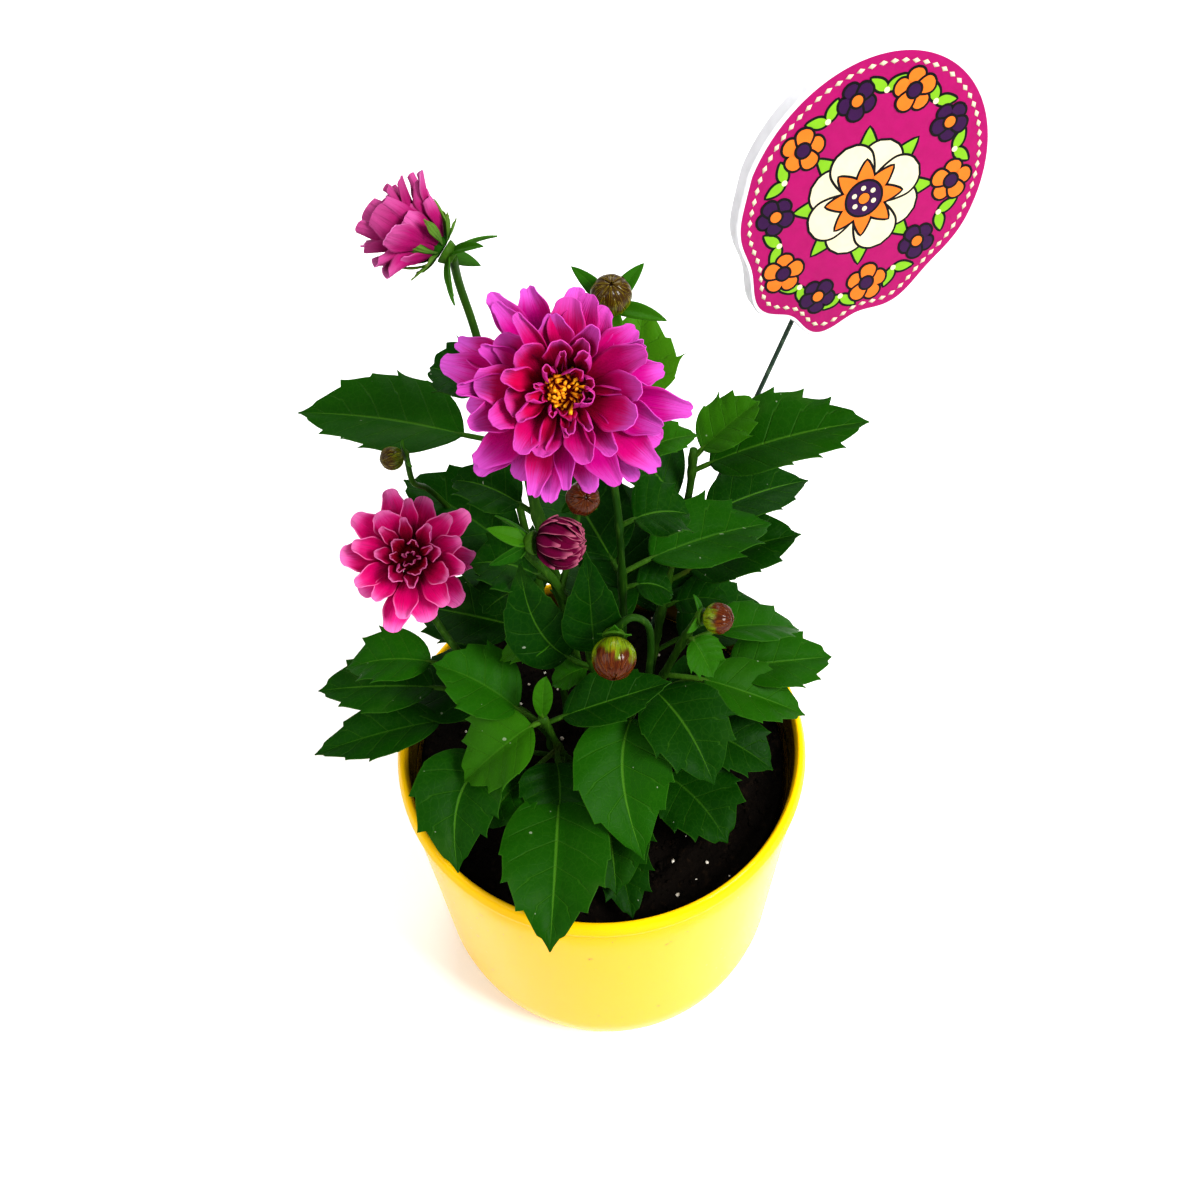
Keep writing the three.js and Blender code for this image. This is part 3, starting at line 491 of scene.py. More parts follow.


# The stems, from the left of the pot to its right and then those in front. A side stem has its height
# on the stem, its radius and its bends. A cup has its head, the radius of its mouth, its depth and the
# radius of its foot. A leaf starts at a height of its stem. The tone of a leaf or a stem goes from 0,
# deep, to 1, bright: partly its own green, and partly painted shade on the leaves and stems that lie in
# shade and painted light on the leaves that are lit from behind.
STEMS = {
    "stem_left": {
        "foot": (-18, 4),
        "radius": 1.5,
        "bends": [(-30, 4, 150), (-44, 10, 169), (-52.5, 18.5, 181), behind("left", 3)],
        "cups": [("left", 4.5, 4, 1.5)],
        "collars": [("left", 2.5, {"count": 4, "length": 8, "width": 4, "spread": 100})],
        "leaves": [
            {"start": 158, "tip": (-82, 9, 165), "width": 20, "stalk": 20, "arch": 19, "tone": 0.35},
            {"start": 150, "tip": (-93, 8, 154), "width": 23, "stalk": 25, "arch": 12, "tone": 0.2},
            {"start": 136, "tip": (-96, -7, 138), "width": 20, "stalk": 32, "arch": 18, "tone": 0.15},
            {"start": 140, "tip": (-69, 20, 137), "width": 30, "stalk": 12, "arch": 8},
        ],
    },
    "stem_rear_left": {
        "foot": (-12, 18),
        "radius": 1.5,
        "bends": [(-20, 34, 190), (-31, 58, 262), (-34, 57, 284), behind("rear_left", 3)],
        "side_stems": [
            (
                178,
                0.9,
                [(-38, 44, 184), (-47, 48, 200), (-51, 43, 214), (-53.5, 35, 227), behind("small", 1.2)],
            )
        ],
        "cups": [("rear_left", 3.4, 3.4, 1.6), ("small", 2, 1.6, 1)],
        "collars": [
            ("rear_left", 2, {"count": 5, "length": 13, "width": 4, "spread": 112}),
            ("small", 1.2, {"count": 3, "length": 4, "width": 2.4, "spread": 80}),
        ],
        "leaves": [
            {"start": 226, "tip": (-91, 66, 226), "width": 31, "stalk": 13, "arch": 3, "tone": 0.3},
            {"start": 238, "tip": (-46, 57, 252), "width": 22, "stalk": 6},
            {"start": 182, "tip": (-61, 59, 200), "width": 28, "stalk": 8},
            {"start": 176, "tip": (-36, 17, 182), "width": 20, "stalk": 5, "arch": 5},
            {"start": 150, "tip": (-62, 40, 156), "width": 30, "stalk": 12, "arch": 10},
            {"start": 158, "tip": (-42, 66, 168), "width": 30, "stalk": 10, "arch": 8},
        ],
    },
    "stem_main": {
        "foot": (-4, 8),
        "radius": 2,
        "bends": [(-9, 14, 180), (-17.5, 24, 243), (-14, 24, 266), behind("main", 5)],
        "cups": [("main", 7.5, 6, 2.2)],
        "collars": [("main", 3.5, {"count": 5, "length": 10, "width": 6, "spread": 98, "root": 3})],
        "leaves": [
            {"start": 222, "tip": (-41, 30, 232), "width": 20, "stalk": 6},
            {"start": 196, "tip": (-38, 20, 204), "width": 24, "stalk": 7},
        ],
    },
    "stem_opening_bud": {
        "foot": (2, 2),
        "radius": 1.6,
        "bends": [(0, 4, 160), (-10, 8, 205), (-19, 4, 230), behind("opening", 2)],
        "side_stems": [(205, 1.1, [(-5, 12, 228), behind("brown", 1.5)])],
        "cups": [("opening", 3.6, 3, 1.7), ("brown", 2.6, 2, 1.2)],
        "collars": [
            ("opening", 1.8, {"count": 5, "length": 12, "width": 5.4, "spread": 138}),
            ("brown", 1.5, {"count": 3, "length": 5, "width": 3, "spread": 90}),
        ],
        "leaves": [
            {
                "start": 166,
                "tip": (-22, 12, 214),
                "bend": (-19, -2, 184),
                "width": 20,
                "stalk": 14,
                "face": VIEWER,
                "tone": 0.0,
                "toothed": 0.35,
            },
            {
                "start": 168,
                "tip": (-2, 10, 221),
                "bend": (1, -4, 190),
                "width": 18,
                "stalk": 12,
                "face": VIEWER,
                "tone": 0.0,
                "toothed": 0.35,
            },
            {"start": 182, "tip": (-31, 3, 175), "width": 12, "stalk": 10, "tone": 0.6},
            {"start": 164, "tip": (-15, 1, 162), "width": 12, "stalk": 3, "arch": 4, "tone": 0.5},
        ],
    },
    "stem_rear_bud": {
        "foot": (8, 16),
        "radius": 1.4,
        # Painted shade: this stem is dark because it stands behind the leaves.
        "tone": 0.0,
        "bends": [(9, 20, 180), (8, 24, 222), (6, 31, 245), (8, 46, 270), behind("rear", 2)],
        "cups": [("rear", 2.8, 2.2, 1.5)],
        "collars": [("rear", 1.8, {"count": 5, "length": 15, "width": 5.2, "spread": 70, "turn": 40})],
        "leaves": [
            {
                "start": 238,
                "tip": (17.5, 62, 268),
                "width": 24,
                "stalk": 20,
                "arch": -6,
                "face": VIEWER,
                "tone": 0.8,
            },
            {"start": 234, "tip": (32, 33, 244), "width": 13, "stalk": 8, "tone": 0.5},
            {"start": 194, "tip": (58, 41, 192), "width": 26, "stalk": 10, "arch": 9, "tone": 0.3},
            {"start": 184, "tip": (25, 20, 184), "width": 18, "stalk": 5},
            {"start": 150, "tip": (-7, 62, 150), "width": 28, "stalk": 10, "arch": 8},
            {"start": 214, "tip": (30, 28, 214), "width": 24, "stalk": 5},
            {"start": 190, "tip": (-11, 62, 200), "width": 29, "stalk": 7, "tone": 0.0},
            {"start": 172, "tip": (4, 74, 180), "width": 32, "stalk": 8, "arch": 8, "tone": 0.05},
        ],
    },
    "stem_right_rear": {
        "foot": (18, 24),
        "radius": 1.5,
        "bends": [(24, 36, 165), (32, 50, 200), (33, 53, 216)],
        "leaves": [
            {"start": 206, "tip": (88, 56, 222), "width": 30, "stalk": 6, "arch": 8, "tone": 0.3},
            {"start": 212, "tip": (54, 62, 227), "width": 19, "stalk": 4, "arch": 4, "tone": 0.6},
            {"start": 184, "tip": (73, 62, 188), "width": 22, "stalk": 10},
            {"start": 190, "tip": (6, 60, 216), "width": 26, "stalk": 5, "arch": 5},
            {"start": 166, "tip": (69, 44, 182), "width": 27, "stalk": 8},
            {"start": 156, "tip": (45, 30, 164), "width": 16, "stalk": 5},
            {"start": 140, "tip": (62, 44, 139), "width": 29, "stalk": 10, "arch": 9},
            {"start": 152, "tip": (30, 72, 170), "width": 28, "stalk": 8, "arch": 8},
            {"start": 144, "tip": (22, 62, 146), "width": 23, "stalk": 8, "arch": 7},
        ],
    },
    "stem_right": {
        "foot": (16, 4),
        "radius": 1.5,
        "bends": [(19, 5, 150), (27, 3, 182), behind("right", 1.8)],
        "cups": [("right", 2.8, 2.2, 1.5)],
        "collars": [("right", 1.6, {"count": 3, "length": 6, "width": 3.4, "spread": 90})],
        "leaves": [
            {"start": 178, "tip": (68, 22, 158), "width": 17, "stalk": 14, "arch": 14, "tone": 0.4},
            {"start": 150, "tip": (79, 16, 150), "width": 25, "stalk": 26, "arch": 12, "tone": 0.4},
            {"start": 160, "tip": (68, -4, 146), "width": 22, "stalk": 14, "arch": 10, "tone": 0.45},
            {"start": 134, "tip": (57, -17, 133), "width": 23, "stalk": 18, "arch": 14},
            {"start": 186, "tip": (36, -7, 176), "width": 13, "stalk": 4, "tone": 0.5},
            {"start": 146, "tip": (48, 16, 140), "width": 20, "stalk": 6, "arch": 4},
        ],
    },
    "stem_nodding_bud": {
        "foot": (12, -6),
        "radius": 1.4,
        # Painted shade: this stem is dark because it stands behind the leaves.
        "tone": 0.05,
        "bends": [(14, -4, 150), (17, 2, 180), (15.5, 1.5, 195), (10.5, -1.2, 202), behind("nodding", 2)],
        "cups": [("nodding", 3.6, 2.6, 1.5)],
        "collars": [("nodding", 1.8, {"count": 3, "length": 5, "width": 3.4, "spread": 80})],
        "leaves": [
            {"start": 163, "tip": (35, -34, 156), "width": 28, "stalk": 5, "arch": 8},
            {
                "start": 158,
                "tip": (12, -52, 142),
                "bend": (2, -22, 168),
                "width": 30,
                "stalk": 14,
                "tone": 0.36,
                "toothed": 0.5,
            },
            {"start": 130, "tip": (40, -41, 129), "width": 28, "stalk": 16, "arch": 8},
        ],
    },
    "stem_front": {
        "foot": (-10, -8),
        "radius": 1.3,
        "bends": [(-13, -11, 140), (-18, -14, 168)],
        "leaves": [
            {"start": 164, "tip": (-44, -26, 150), "width": 27, "stalk": 5, "arch": 8, "tone": 0.6},
            {"start": 162, "tip": (23, -8, 176), "width": 19, "stalk": 6, "arch": 3},
            {
                "start": 166,
                "tip": (-16, -8, 182),
                "width": 6,
                "stalk": 0,
                "face": VIEWER,
                "tone": 0.6,
                "toothed": 0,
            },
            {"start": 158, "tip": (-52, 1, 178), "width": 25, "stalk": 12, "arch": 5, "tone": 0.42},
            {"start": 146, "tip": (-15, -38, 140), "width": 25, "stalk": 8},
            {"start": 142, "tip": (-39, -37, 138), "width": 22, "stalk": 14, "tone": 0.3},
            {"start": 138, "tip": (-18, -79, 137), "width": 33, "stalk": 18, "arch": 13, "tone": 0.3},
            {
                "start": 132,
                "tip": (-47, -51, 136),
                "bend": (-50, -10, 160),
                "width": 28,
                "stalk": 30,
                "tone": 0.2,
            },
        ],
    },
    "stem_front_low": {
        "foot": (0, -18),
        "radius": 1.2,
        "bends": [(-2, -21, 138)],
        "leaves": [
            {"start": 136, "tip": (3, -58, 130), "width": 26, "stalk": 7, "arch": 6, "tone": 0.2},
            {"start": 130, "tip": (8, -63, 122), "width": 18, "stalk": 16, "arch": 4},
        ],
    },
}


class Growth:
    """The rods and sheets that grow into one piece.

    Each has the number of its finish, the mark "blade" (way along, way across, upper side) at each
    point, and the mark "tone" (brightness, its own chance, a tenth of its number of veins) all over.
    """

    def __init__(self):
        self.points = []
        self.faces = []
        self.kinds = []
        self.blade = []
        self.tone = []

    def add(self, points, faces, kind, blade, tone):
        first = len(self.points)
        self.points += [tuple(point) for point in points]
        self.faces += [tuple(first + corner for corner in face) for face in faces]
        self.kinds += [kind] * len(faces)
        self.blade += [tuple(mark) for mark in blade]
        self.tone += [tuple(tone)] * len(points)

    def piece(self, name, finishes):
        marks = {"blade": self.blade, "tone": self.tone}
        return new_piece(name, self.points, self.faces, finishes, self.kinds, marks)


def unit(vectors):
    return vectors / np.linalg.norm(vectors, axis=-1, keepdims=True)


def through(points, steps_each):
    """A centripetal spline through the points, as rows of points."""
    points = np.asarray(points, float)
    points = np.vstack([2 * points[0] - points[1], points, 2 * points[-1] - points[-2]])
    line = []
    for p0, p1, p2, p3 in zip(points, points[1:], points[2:], points[3:]):
        t1 = np.linalg.norm(p1 - p0) ** 0.5
        t2 = t1 + np.linalg.norm(p2 - p1) ** 0.5
        t3 = t2 + np.linalg.norm(p3 - p2) ** 0.5
        for t in t1 + (t2 - t1) * np.arange(steps_each) / steps_each:
            a1 = (t1 - t) / t1 * p0 + t / t1 * p1
            a2 = (t2 - t) / (t2 - t1) * p1 + (t - t1) / (t2 - t1) * p2
            a3 = (t3 - t) / (t3 - t2) * p2 + (t - t2) / (t3 - t2) * p3
            b1 = (t2 - t) / t2 * a1 + t / t2 * a2
            b2 = (t3 - t) / (t3 - t1) * a2 + (t - t1) / (t3 - t1) * a3
            line.append((t2 - t) / (t2 - t1) * b1 + (t - t1) / (t2 - t1) * b2)
    line.append(points[-2])
    return np.array(line)


def tube(line, radii, sides):
    """A closed round rod along a line of points."""
    line = np.asarray(line, float)
    radii = np.broadcast_to(radii, len(line))
    along = unit(np.gradient(line, axis=0))
    side = np.cross(along[0], (0.0, 1.0, 0.3))
    points = []
    for centre, direction, radius in zip(line, along, radii):
        side = unit(side - direction * (side @ direction))
        other = np.cross(direction, side)
        for a in np.arange(sides) * 2 * math.pi / sides:
            points.append(centre + radius * (math.cos(a) * side + math.sin(a) * other))
    faces = []
    for ring in range(len(line) - 1):
        for i in range(sides):
            low, high = ring * sides, (ring + 1) * sides
            following = (i + 1) % sides
            faces.append((low + i, low + following, high + following, high + i))
    faces.append(tuple(range(sides))[::-1])
    faces.append(tuple(len(points) - sides + i for i in range(sides)))
    return points, faces


def sheet(grid, thickness):
    """A closed thin sheet round a grid of points. Its first half of points is the upper face."""
    rows, columns, _ = grid.shape
    normal = unit(np.cross(np.gradient(grid, axis=1), np.gradient(grid, axis=0)))
    half = (normal * np.asarray(thickness)[..., None] / 2).reshape(-1, 3)
    flat = grid.reshape(-1, 3)
    points = np.vstack([flat + half, flat - half])
    under = rows * columns
    faces = []
    for r in range(rows - 1):
        for c in range(columns - 1):
            a, b = r * columns + c, r * columns + c + 1
            d, e = a + columns, b + columns
            faces += [(a, b, e, d), (under + a, under + d, under + e, under + b)]
    border = [(0, c) for c in range(columns - 1)]
    border += [(r, columns - 1) for r in range(rows - 1)]
    border += [(rows - 1, c) for c in range(columns - 1, 0, -1)]
    border += [(r, 0) for r in range(rows - 1, 0, -1)]
    loop = [r * columns + c for r, c in border]
    for a, b in zip(loop, loop[1:] + loop[:1]):
        faces.append((b, a, under + a, under + b))
    return points, faces


def outline(s, rise, fall):
    """A blade's outline: 0 at both ends and 1 where it is widest."""
    widest = rise / (rise + fall)
    shape = s**rise * (1 - s) ** fall
    return shape / (widest**rise * (1 - widest) ** fall)


def blade_marks(s, v):
    """The mark "blade" at each point of a sheet: way along, way across, and 1 on its upper face."""
    upper_face = np.stack(np.broadcast_arrays(s, v, 1.0), -1).reshape(-1, 3)
    return np.vstack([upper_face, upper_face * (1, 1, 0)])


BLADE_FINISH = 0
STEM_FINISH = 1
NO_BLADE = [(0, 0, 0)]
USUAL_LEAF = {"stalk": 9, "arch": 7, "bend": None, "face": UP, "tone": 0.12, "toothed": 1}


def toothed_edge(width, teeth, toothed, chance):
    """Rows along a blade, with its half width and how far its teeth stand out at each."""
    steps = 8
    # Rows follow the teeth, so that each tip and each notch is sharp.
    tooth_rows = np.array([(k + t / steps) / teeth for k in range(teeth) for t in range(steps)])
    s = np.concatenate([[0, 0.02, 0.05, 0.085], 0.12 + 0.8 * tooth_rows, [0.925, 0.95, 0.975, 1]])
    saw = np.zeros_like(s)
    saw[4:-4] = (np.arange(len(tooth_rows)) % steps) / (steps - 1)
    grow_in = np.clip((s - 0.24) / 0.2, 0, 1) * np.clip((0.96 - s) / 0.14, 0, 1)
    tooth_size = np.repeat(chance.uniform(0.25, 1.4, teeth), steps)
    tooth_size = np.concatenate([np.full(4, 0.5), tooth_size, np.full(4, 0.5)])
    depth = min(2.0, 0.085 * width) * toothed * grow_in * tooth_size
    pointed = 1 - 0.16 * np.clip((s - 0.62) / 0.38, 0, 1) ** 1.5
    half = width / 2 * outline(s, 0.62, 1.05) * (1 + 0.05 * np.sin(math.pi * s)) * pointed
    half = np.maximum(half + depth * (0.25 * saw + 0.75 * saw**4 - 0.3), 0.12)
    half[0] = STALK_RADIUS * 0.8
    return s, half, depth * saw


def blade_lift(row, v, span, veins, width, chance):
    """How far a blade stands above its midrib: folded, quilted between its veins, and wavy."""
    wide = np.abs(v)
    vein = veins * (row - 0.17 * wide)
    quilt = 0.42 * (0.5 - 0.5 * np.cos(2 * math.pi * vein)) * wide * (1.15 - wide) * 2.4
    quilt = quilt * np.minimum(1, span / 6)
    lift = span * (LEAF_FOLD + 0.16) * wide - span * 0.17 * wide**2 + quilt
    swell = chance.uniform(0.05, 0.10) * width / 2
    left_wave = np.sin(2 * math.pi * (row * chance.uniform(1.1, 1.9) + chance.random()))
    right_wave = np.sin(2 * math.pi * (row * chance.uniform(1.1, 1.9) + chance.random()))
    calm_ends = np.minimum(1, 4 * row * (1 - row) + 0.2)
    return lift + swell * np.where(v < 0, left_wave, right_wave) * wide**2 * calm_ends


def on_arch(arch_points, t):
    """Points at shares t along a leaf's arch, which its start, middle and tip give."""
    start, middle, tip = arch_points
    t = t[:, None]
    return (1 - t) ** 2 * start + 2 * t * (1 - t) * middle + t**2 * tip


def grow_stalk(growth, arch_points, blade_start, face, tone, chance):
    """A leaf's stalk, which runs on under its blade as the midrib."""
    on_blade = blade_start + (1 - blade_start) * np.linspace(0.04, 0.9, 18)
    reach = np.unique(np.concatenate([np.linspace(0, blade_start, 9), on_blade]))
    rib = on_arch(arch_points, reach)
    passed = np.clip((reach - blade_start) / (1 - blade_start), 0, 1)
    thick = STALK_RADIUS * np.where(reach < blade_start, 1, 0.78 * (1 - passed) ** 0.8 + 0.12)
    direction = unit(np.gradient(rib, axis=0))
    across = unit(np.cross(direction, np.array(face, float)))
    under = unit(np.cross(across, direction))
    rib = rib - under * (thick * 0.75 * np.clip(passed * 12, 0, 1))[:, None]
    points, faces = tube(rib, thick, 8)
    growth.add(points, faces, STEM_FINISH, NO_BLADE * len(points), (tone + 0.12, chance.random(), 0))


def grow_leaf(growth, start, tip, width, stalk, arch, bend, face, tone, toothed, chance):
    """A leaf on its stalk: sharp forward teeth, a folded midrib and sunken side veins."""
    start, tip = np.array(start), np.array(tip, float)
    middle = np.array(bend, float) if bend else (start + tip) / 2 + np.array(UP) * arch
    curve = on_arch((start, middle, tip), np.linspace(0, 1, 60))
    length = np.linalg.norm(np.diff(curve, axis=0), axis=1).sum()
    blade_start = stalk / length
    teeth = max(4, round((length - stalk) / 10))
    s, half, tooth = toothed_edge(width, teeth, toothed, chance)

    t = blade_start + (1 - blade_start) * s
    middle_line = on_arch((start, middle, tip), t)
    along = unit(2 * (1 - t[:, None]) * (middle - start) + 2 * t[:, None] * (tip - middle))
    side = unit(np.cross(along, np.array(face, float)))
    normal = unit(np.cross(side, along))
    v = np.sin(np.linspace(-1, 1, 17) * math.pi / 2)[None, :]
    wide = np.abs(v)
    row, span = s[:, None], half[:, None]
    lift = blade_lift(row, v, span, teeth + 1, width, chance)
    lean = 0.12 * span * wide + (tooth * 0.9)[:, None] * np.clip(wide - 0.8, 0, 1) * 5
    sway = chance.uniform(-0.05, 0.05) * width * np.sin(math.pi * row)
    grid = (
        middle_line[:, None, :]
        + side[:, None, :] * (v * span + sway)[..., None]
        + normal[:, None, :] * lift[..., None]
        + along[:, None, :] * (lean * np.minimum(1, 6 * row * (1 - row)))[..., None]
    )
    thickness = LEAF_THICKNESS * (1 - 0.45 * wide**3) * np.ones_like(row)
    points, faces = sheet(grid, thickness)
    tint = (tone, chance.random(), (teeth + 1) / 10)
    growth.add(points, faces, BLADE_FINISH, blade_marks(row, v), tint)
    grow_stalk(growth, (start, middle, tip), blade_start, face, tone, chance)


def placed_on(name, points, distance):
    """Points made along +Z, turned to a head's axis and moved to a place behind its base."""
    base, axis = HEADS[name]
    turn = np.array(Vector(UP).rotation_difference(axis).to_matrix())
    return np.asarray(points) @ turn.T + np.array(base - axis * distance)


def grow_stem(growth, seed, foot, radius, bends, leaves=(), side_stems=(), cups=(), collars=(), tone=0.2):
    """A stem that swells where a leaf leaves it, with its side stems, cups, bracts and leaves."""
    chance = np.random.default_rng(seed)
    x, y = foot
    line = through([(x, y, STEM_FOOT), (x, y, SOIL_LEVEL + 2), (x, y, SOIL_LEVEL + 8), *bends], 12)
    from_height = {leaf["start"]: line[np.argmax(line[:, 2] >= leaf["start"])] for leaf in leaves}
    radii = np.full(len(line), 0.82 * radius)
    for point in from_height.values():
        radii += 0.28 * radius * np.exp(-((np.linalg.norm(line - point, axis=1) / 2.2) ** 2))
    points, faces = tube(line, radii, 14)
    growth.add(points, faces, STEM_FINISH, NO_BLADE * len(points), (tone, 0.5, 0))
    for start, thickness, bends in side_stems:
        first = line[np.argmax(line[:, 2] >= start)]
        points, faces = tube(through([first, *bends], 10), thickness, 10)
        growth.add(points, faces, STEM_FINISH, NO_BLADE * len(points), (tone, 0.4, 0))
    for name, mouth, depth, narrow in cups:
        profile = [(0, -depth), (narrow, -depth)]
        profile += bow((narrow, -depth), (mouth * 0.85, -depth * 0.75), (mouth, -depth * 0.12), 7)
        profile += [(mouth * 0.97, 0), (mouth * 0.8, 0), (0, 0)]
        points, faces = turned(profile, 28)
        points = placed_on(name, points, CUP_GAP)
        growth.add(points, faces, STEM_FINISH, NO_BLADE * len(points), (0.6, 0.3, 0))
    for name, distance, shape in collars:
        grow_bracts(growth, name, distance, chance, **shape)
    for shape in leaves:
        shape = USUAL_LEAF | shape
        grow_leaf(growth, from_height[shape.pop("start")], chance=chance, **shape)


def grow_bracts(growth, name, distance, chance, count, length, width, spread, root=1, turn=0):
    """A ring of small pointed bracts behind a head, curling back at their tips."""
    base, axis = HEADS[name]
    centre, axis = np.array(base - axis * distance), np.array(axis)
    side = unit(np.cross(axis, (1.0, 0, 0) if abs(axis[0]) < 0.9 else UP))
    other = np.cross(axis, side)
    s = np.sin(np.linspace(0, 1, 16) * math.pi / 2)[:, None]
    v = np.linspace(-1, 1, 9)[None, :]
    for i in range(count):
        angle = math.radians(turn) + 2 * math.pi * i / count
        out = math.cos(angle) * side + math.sin(angle) * other
        lean = math.radians(spread + chance.uniform(-6, 6))
        along = out * math.sin(lean) + axis * math.cos(lean)
        across = unit(np.cross(along, axis))
        normal = unit(np.cross(across, along))
        foot = 0.5 * np.clip(0.15 - s, 0, 1) * width
        half = width / 2 * np.maximum(outline(s, 0.45, 0.8), 0.03) + foot
        bent = -0.16 * length * s**2 + half * 0.32 * np.abs(v)
        twist = chance.uniform(-0.12, 0.12) * length * s**2
        grid = (
            centre
            + along * (root + s * length)[..., None]
            + across * (v * half + twist)[..., None]
            + normal * bent[..., None]
        )
        points, faces = sheet(grid, 0.55 * (1 - 0.4 * np.abs(v) ** 3) * np.ones_like(s))
        tint = (0.45 + chance.uniform(-0.15, 0.3), chance.random(), 0.2)
        growth.add(points, faces, BLADE_FINISH, blade_marks(s, v), tint)


LEAF_DEEP = (0.0012, 0.021, 0.0002, 1)
LEAF_FRESH = (0.012, 0.078, 0.0010, 1)
LEAF_BRIGHT = (0.058, 0.180, 0.005, 1)
LEAF_UNDER = (0.030, 0.095, 0.010, 1)
VEIN_PALE = (0.060, 0.170, 0.012, 1)
SHEEN_GREY = (0.024, 0.070, 0.008, 1)
LEAF_FLECK = (0.5, 0.52, 0.42, 1)
STEM_DEEP = (0.003, 0.026, 0.001, 1)
STEM_FRESH = (0.055, 0.140, 0.008, 1)
STEM_STREAK = (0.07, 0.15, 0.015, 1)
STEM_FLUSH = (0.075, 0.035, 0.010, 1)

leaf_skin = Finish("leaf_skin", {"Specular IOR Level": 0.04})
length_way, across_way, upper = leaf_skin.marks("blade")
tone, fate, vein_count = leaf_skin.marks("tone")
place = leaf_skin.place()
wide = abs(across_way)
mottled = leaf_skin.noise(place, 55, 3)
fine = leaf_skin.noise(place, 900, 2)
vein_way = vein_count * 10 * (length_way - 0.17 * wide)
beside_vein = abs((vein_way + 0.5).fraction() - 0.5)
side_veins = beside_vein.rises(0.05, 0.01) * wide.rises(1.0, 0.7) * vein_count.rises(0.25, 0.35)
midrib = wide.rises(0.045, 0.012)
edge_line = wide.rises(0.965, 0.995)
netted = leaf_skin.node(
    "ShaderNodeTexVoronoi", {"feature": "DISTANCE_TO_EDGE"}, {"Vector": place, "Scale": 420.0}
)
net = netted.rises(0.10, 0.0)
# Deep to bright green by the tone: partly the leaf's own colour, partly painted shade and light.
colour = leaf_skin.mix(tone.rises(0.0, 0.5) * 0.75 + mottled * 0.24, LEAF_DEEP, LEAF_FRESH)
colour = leaf_skin.mix(tone.rises(0.35, 1.1), colour, LEAF_BRIGHT)
colour = leaf_skin.mix(mottled.rises(0.55, 0.75) * fate.rises(0.2, 0.9) * 0.5, colour, SHEEN_GREY)
colour = leaf_skin.mix(net * 0.05, colour, VEIN_PALE)
colour = leaf_skin.mix(side_veins * 0.14 + edge_line * 0.2, colour, VEIN_PALE)
colour = leaf_skin.mix(midrib * (0.22 + fate * 0.45), colour, VEIN_PALE)
colour = leaf_skin.mix(upper.rises(0.9, 0.1) * 0.7, colour, LEAF_UNDER)
flecked = leaf_skin.noise(place, 560, 0).rises(0.86, 0.88) * upper
colour = leaf_skin.mix(flecked * 0.3, colour, LEAF_FLECK)
leaf_skin.feed("Base Color", colour)
leaf_skin.feed("Roughness", 0.36 + mottled * 0.16 + fine * 0.05 + upper.rises(0.9, 0.1) * 0.18)
relief = fine * 0.2 - net * 0.12 - side_veins * 0.9 - midrib * 0.8 + mottled * 0.8
leaf_skin.bump(relief, 0.5, 0.0005)

stem_skin = Finish("stem_skin", {"Specular IOR Level": 0.06})
tone = stem_skin.marks("tone")[0]
place = stem_skin.place()
stretched = stem_skin.node("ShaderNodeMapping", None, {"Vector": place, "Scale": (1.0, 1.0, 0.12)})
streaks = stem_skin.noise(stretched, 900, 3)
patches = stem_skin.noise(place, 40, 2)
# Deep to fresh green by the tone: partly the stem's own colour, partly painted shade.
colour = stem_skin.mix(tone * 0.75 + patches * 0.25, STEM_DEEP, STEM_FRESH)
colour = stem_skin.mix(streaks.rises(0.5, 0.7) * 0.25, colour, STEM_STREAK)
colour = stem_skin.mix(patches.rises(0.6, 0.75) * 0.3, colour, STEM_FLUSH)
stem_skin.feed("Base Color", colour)
stem_skin.feed("Roughness", 0.42 + streaks * 0.15)
stem_skin.bump(streaks, 0.35, 0.0004)

for number, (name, shape) in enumerate(STEMS.items()):
    growth = Growth()
    grow_stem(growth, 40 + number, **shape)
    settle(growth.piece("leafy_" + name, [leaf_skin, stem_skin]), "leaf_green", name)


# The blooms
# Each bloom is a small core that holds rings of thin spoon-shaped petals. The outer rings lie
# open, and the inner ones stand up, cupped and still part rolled, round the middle.

PETAL_THICKNESS = 0.3
PLEAT_DEPTH = 0.14


def store(tree, geometry, name, kind, value, domain="POINT"):
    """The geometry carries a mark under a name."""
    return tree.node(
        "GeometryNodeStoreNamedAttribute",
        {"data_type": kind, "domain": domain},
        {"Geometry": geometry, "Name": name, "Value": value},
    )


petal_ring = Repeat(
    "Ring of petals",
    ["Count", "Turn", "Root radius", "Root height", "Pitch", "Curl", "Length", "Width"]
    + ["Cupping", "Tip cut", "Point", "Notch", "Droop", "Short side", "Shortfall"]
    + ["Unevenness", "Depth", "Seed", "Finish"],
)
given = petal_ring.given
seed = given("Seed")
patch = petal_ring.node(
    "GeometryNodeMeshGrid", None, {"Size X": 1.0, "Size Y": 1.0, "Vertices X": 13, "Vertices Y": 22}
)
spots = petal_ring.node("GeometryNodePoints", None, {"Count": given("Count")})
petals = petal_ring.node("GeometryNodeInstanceOnPoints", None, {"Points": spots, "Instance": patch})
index = petal_ring.node("GeometryNodeInputIndex")
petals = store(petal_ring, petals, "petal", "FLOAT", index, "INSTANCE")
petals = petal_ring.node("GeometryNodeRealizeInstances", None, {0: petals})
petal = petal_ring.node("GeometryNodeInputNamedAttribute", {"data_type": "FLOAT"}, {"Name": "petal"})


def per_petal(low, high, step):
    """A number that is the same all over one petal and differs from the next one's."""
    values = {2: low, 3: high, 7: petal, 8: seed + step}
    return petal_ring.node("FunctionNodeRandomValue", None, values, output=1)


def own(low, high, step):
    """A share of the ring's unevenness."""
    return per_petal(low, high, step) * given("Unevenness")


# On a petal, s goes from 0 at its root to 1 at its tip, and v from -1 to 1 across it.
wide_way, long_way, _ = petal_ring.parts(petal_ring.node("GeometryNodeInputPosition"))
v = wide_way * 2
s = ((long_way + 0.5) * (math.pi / 2)).sine()
wide = abs(v)
even = (petal % 2 - 0.5) * 2
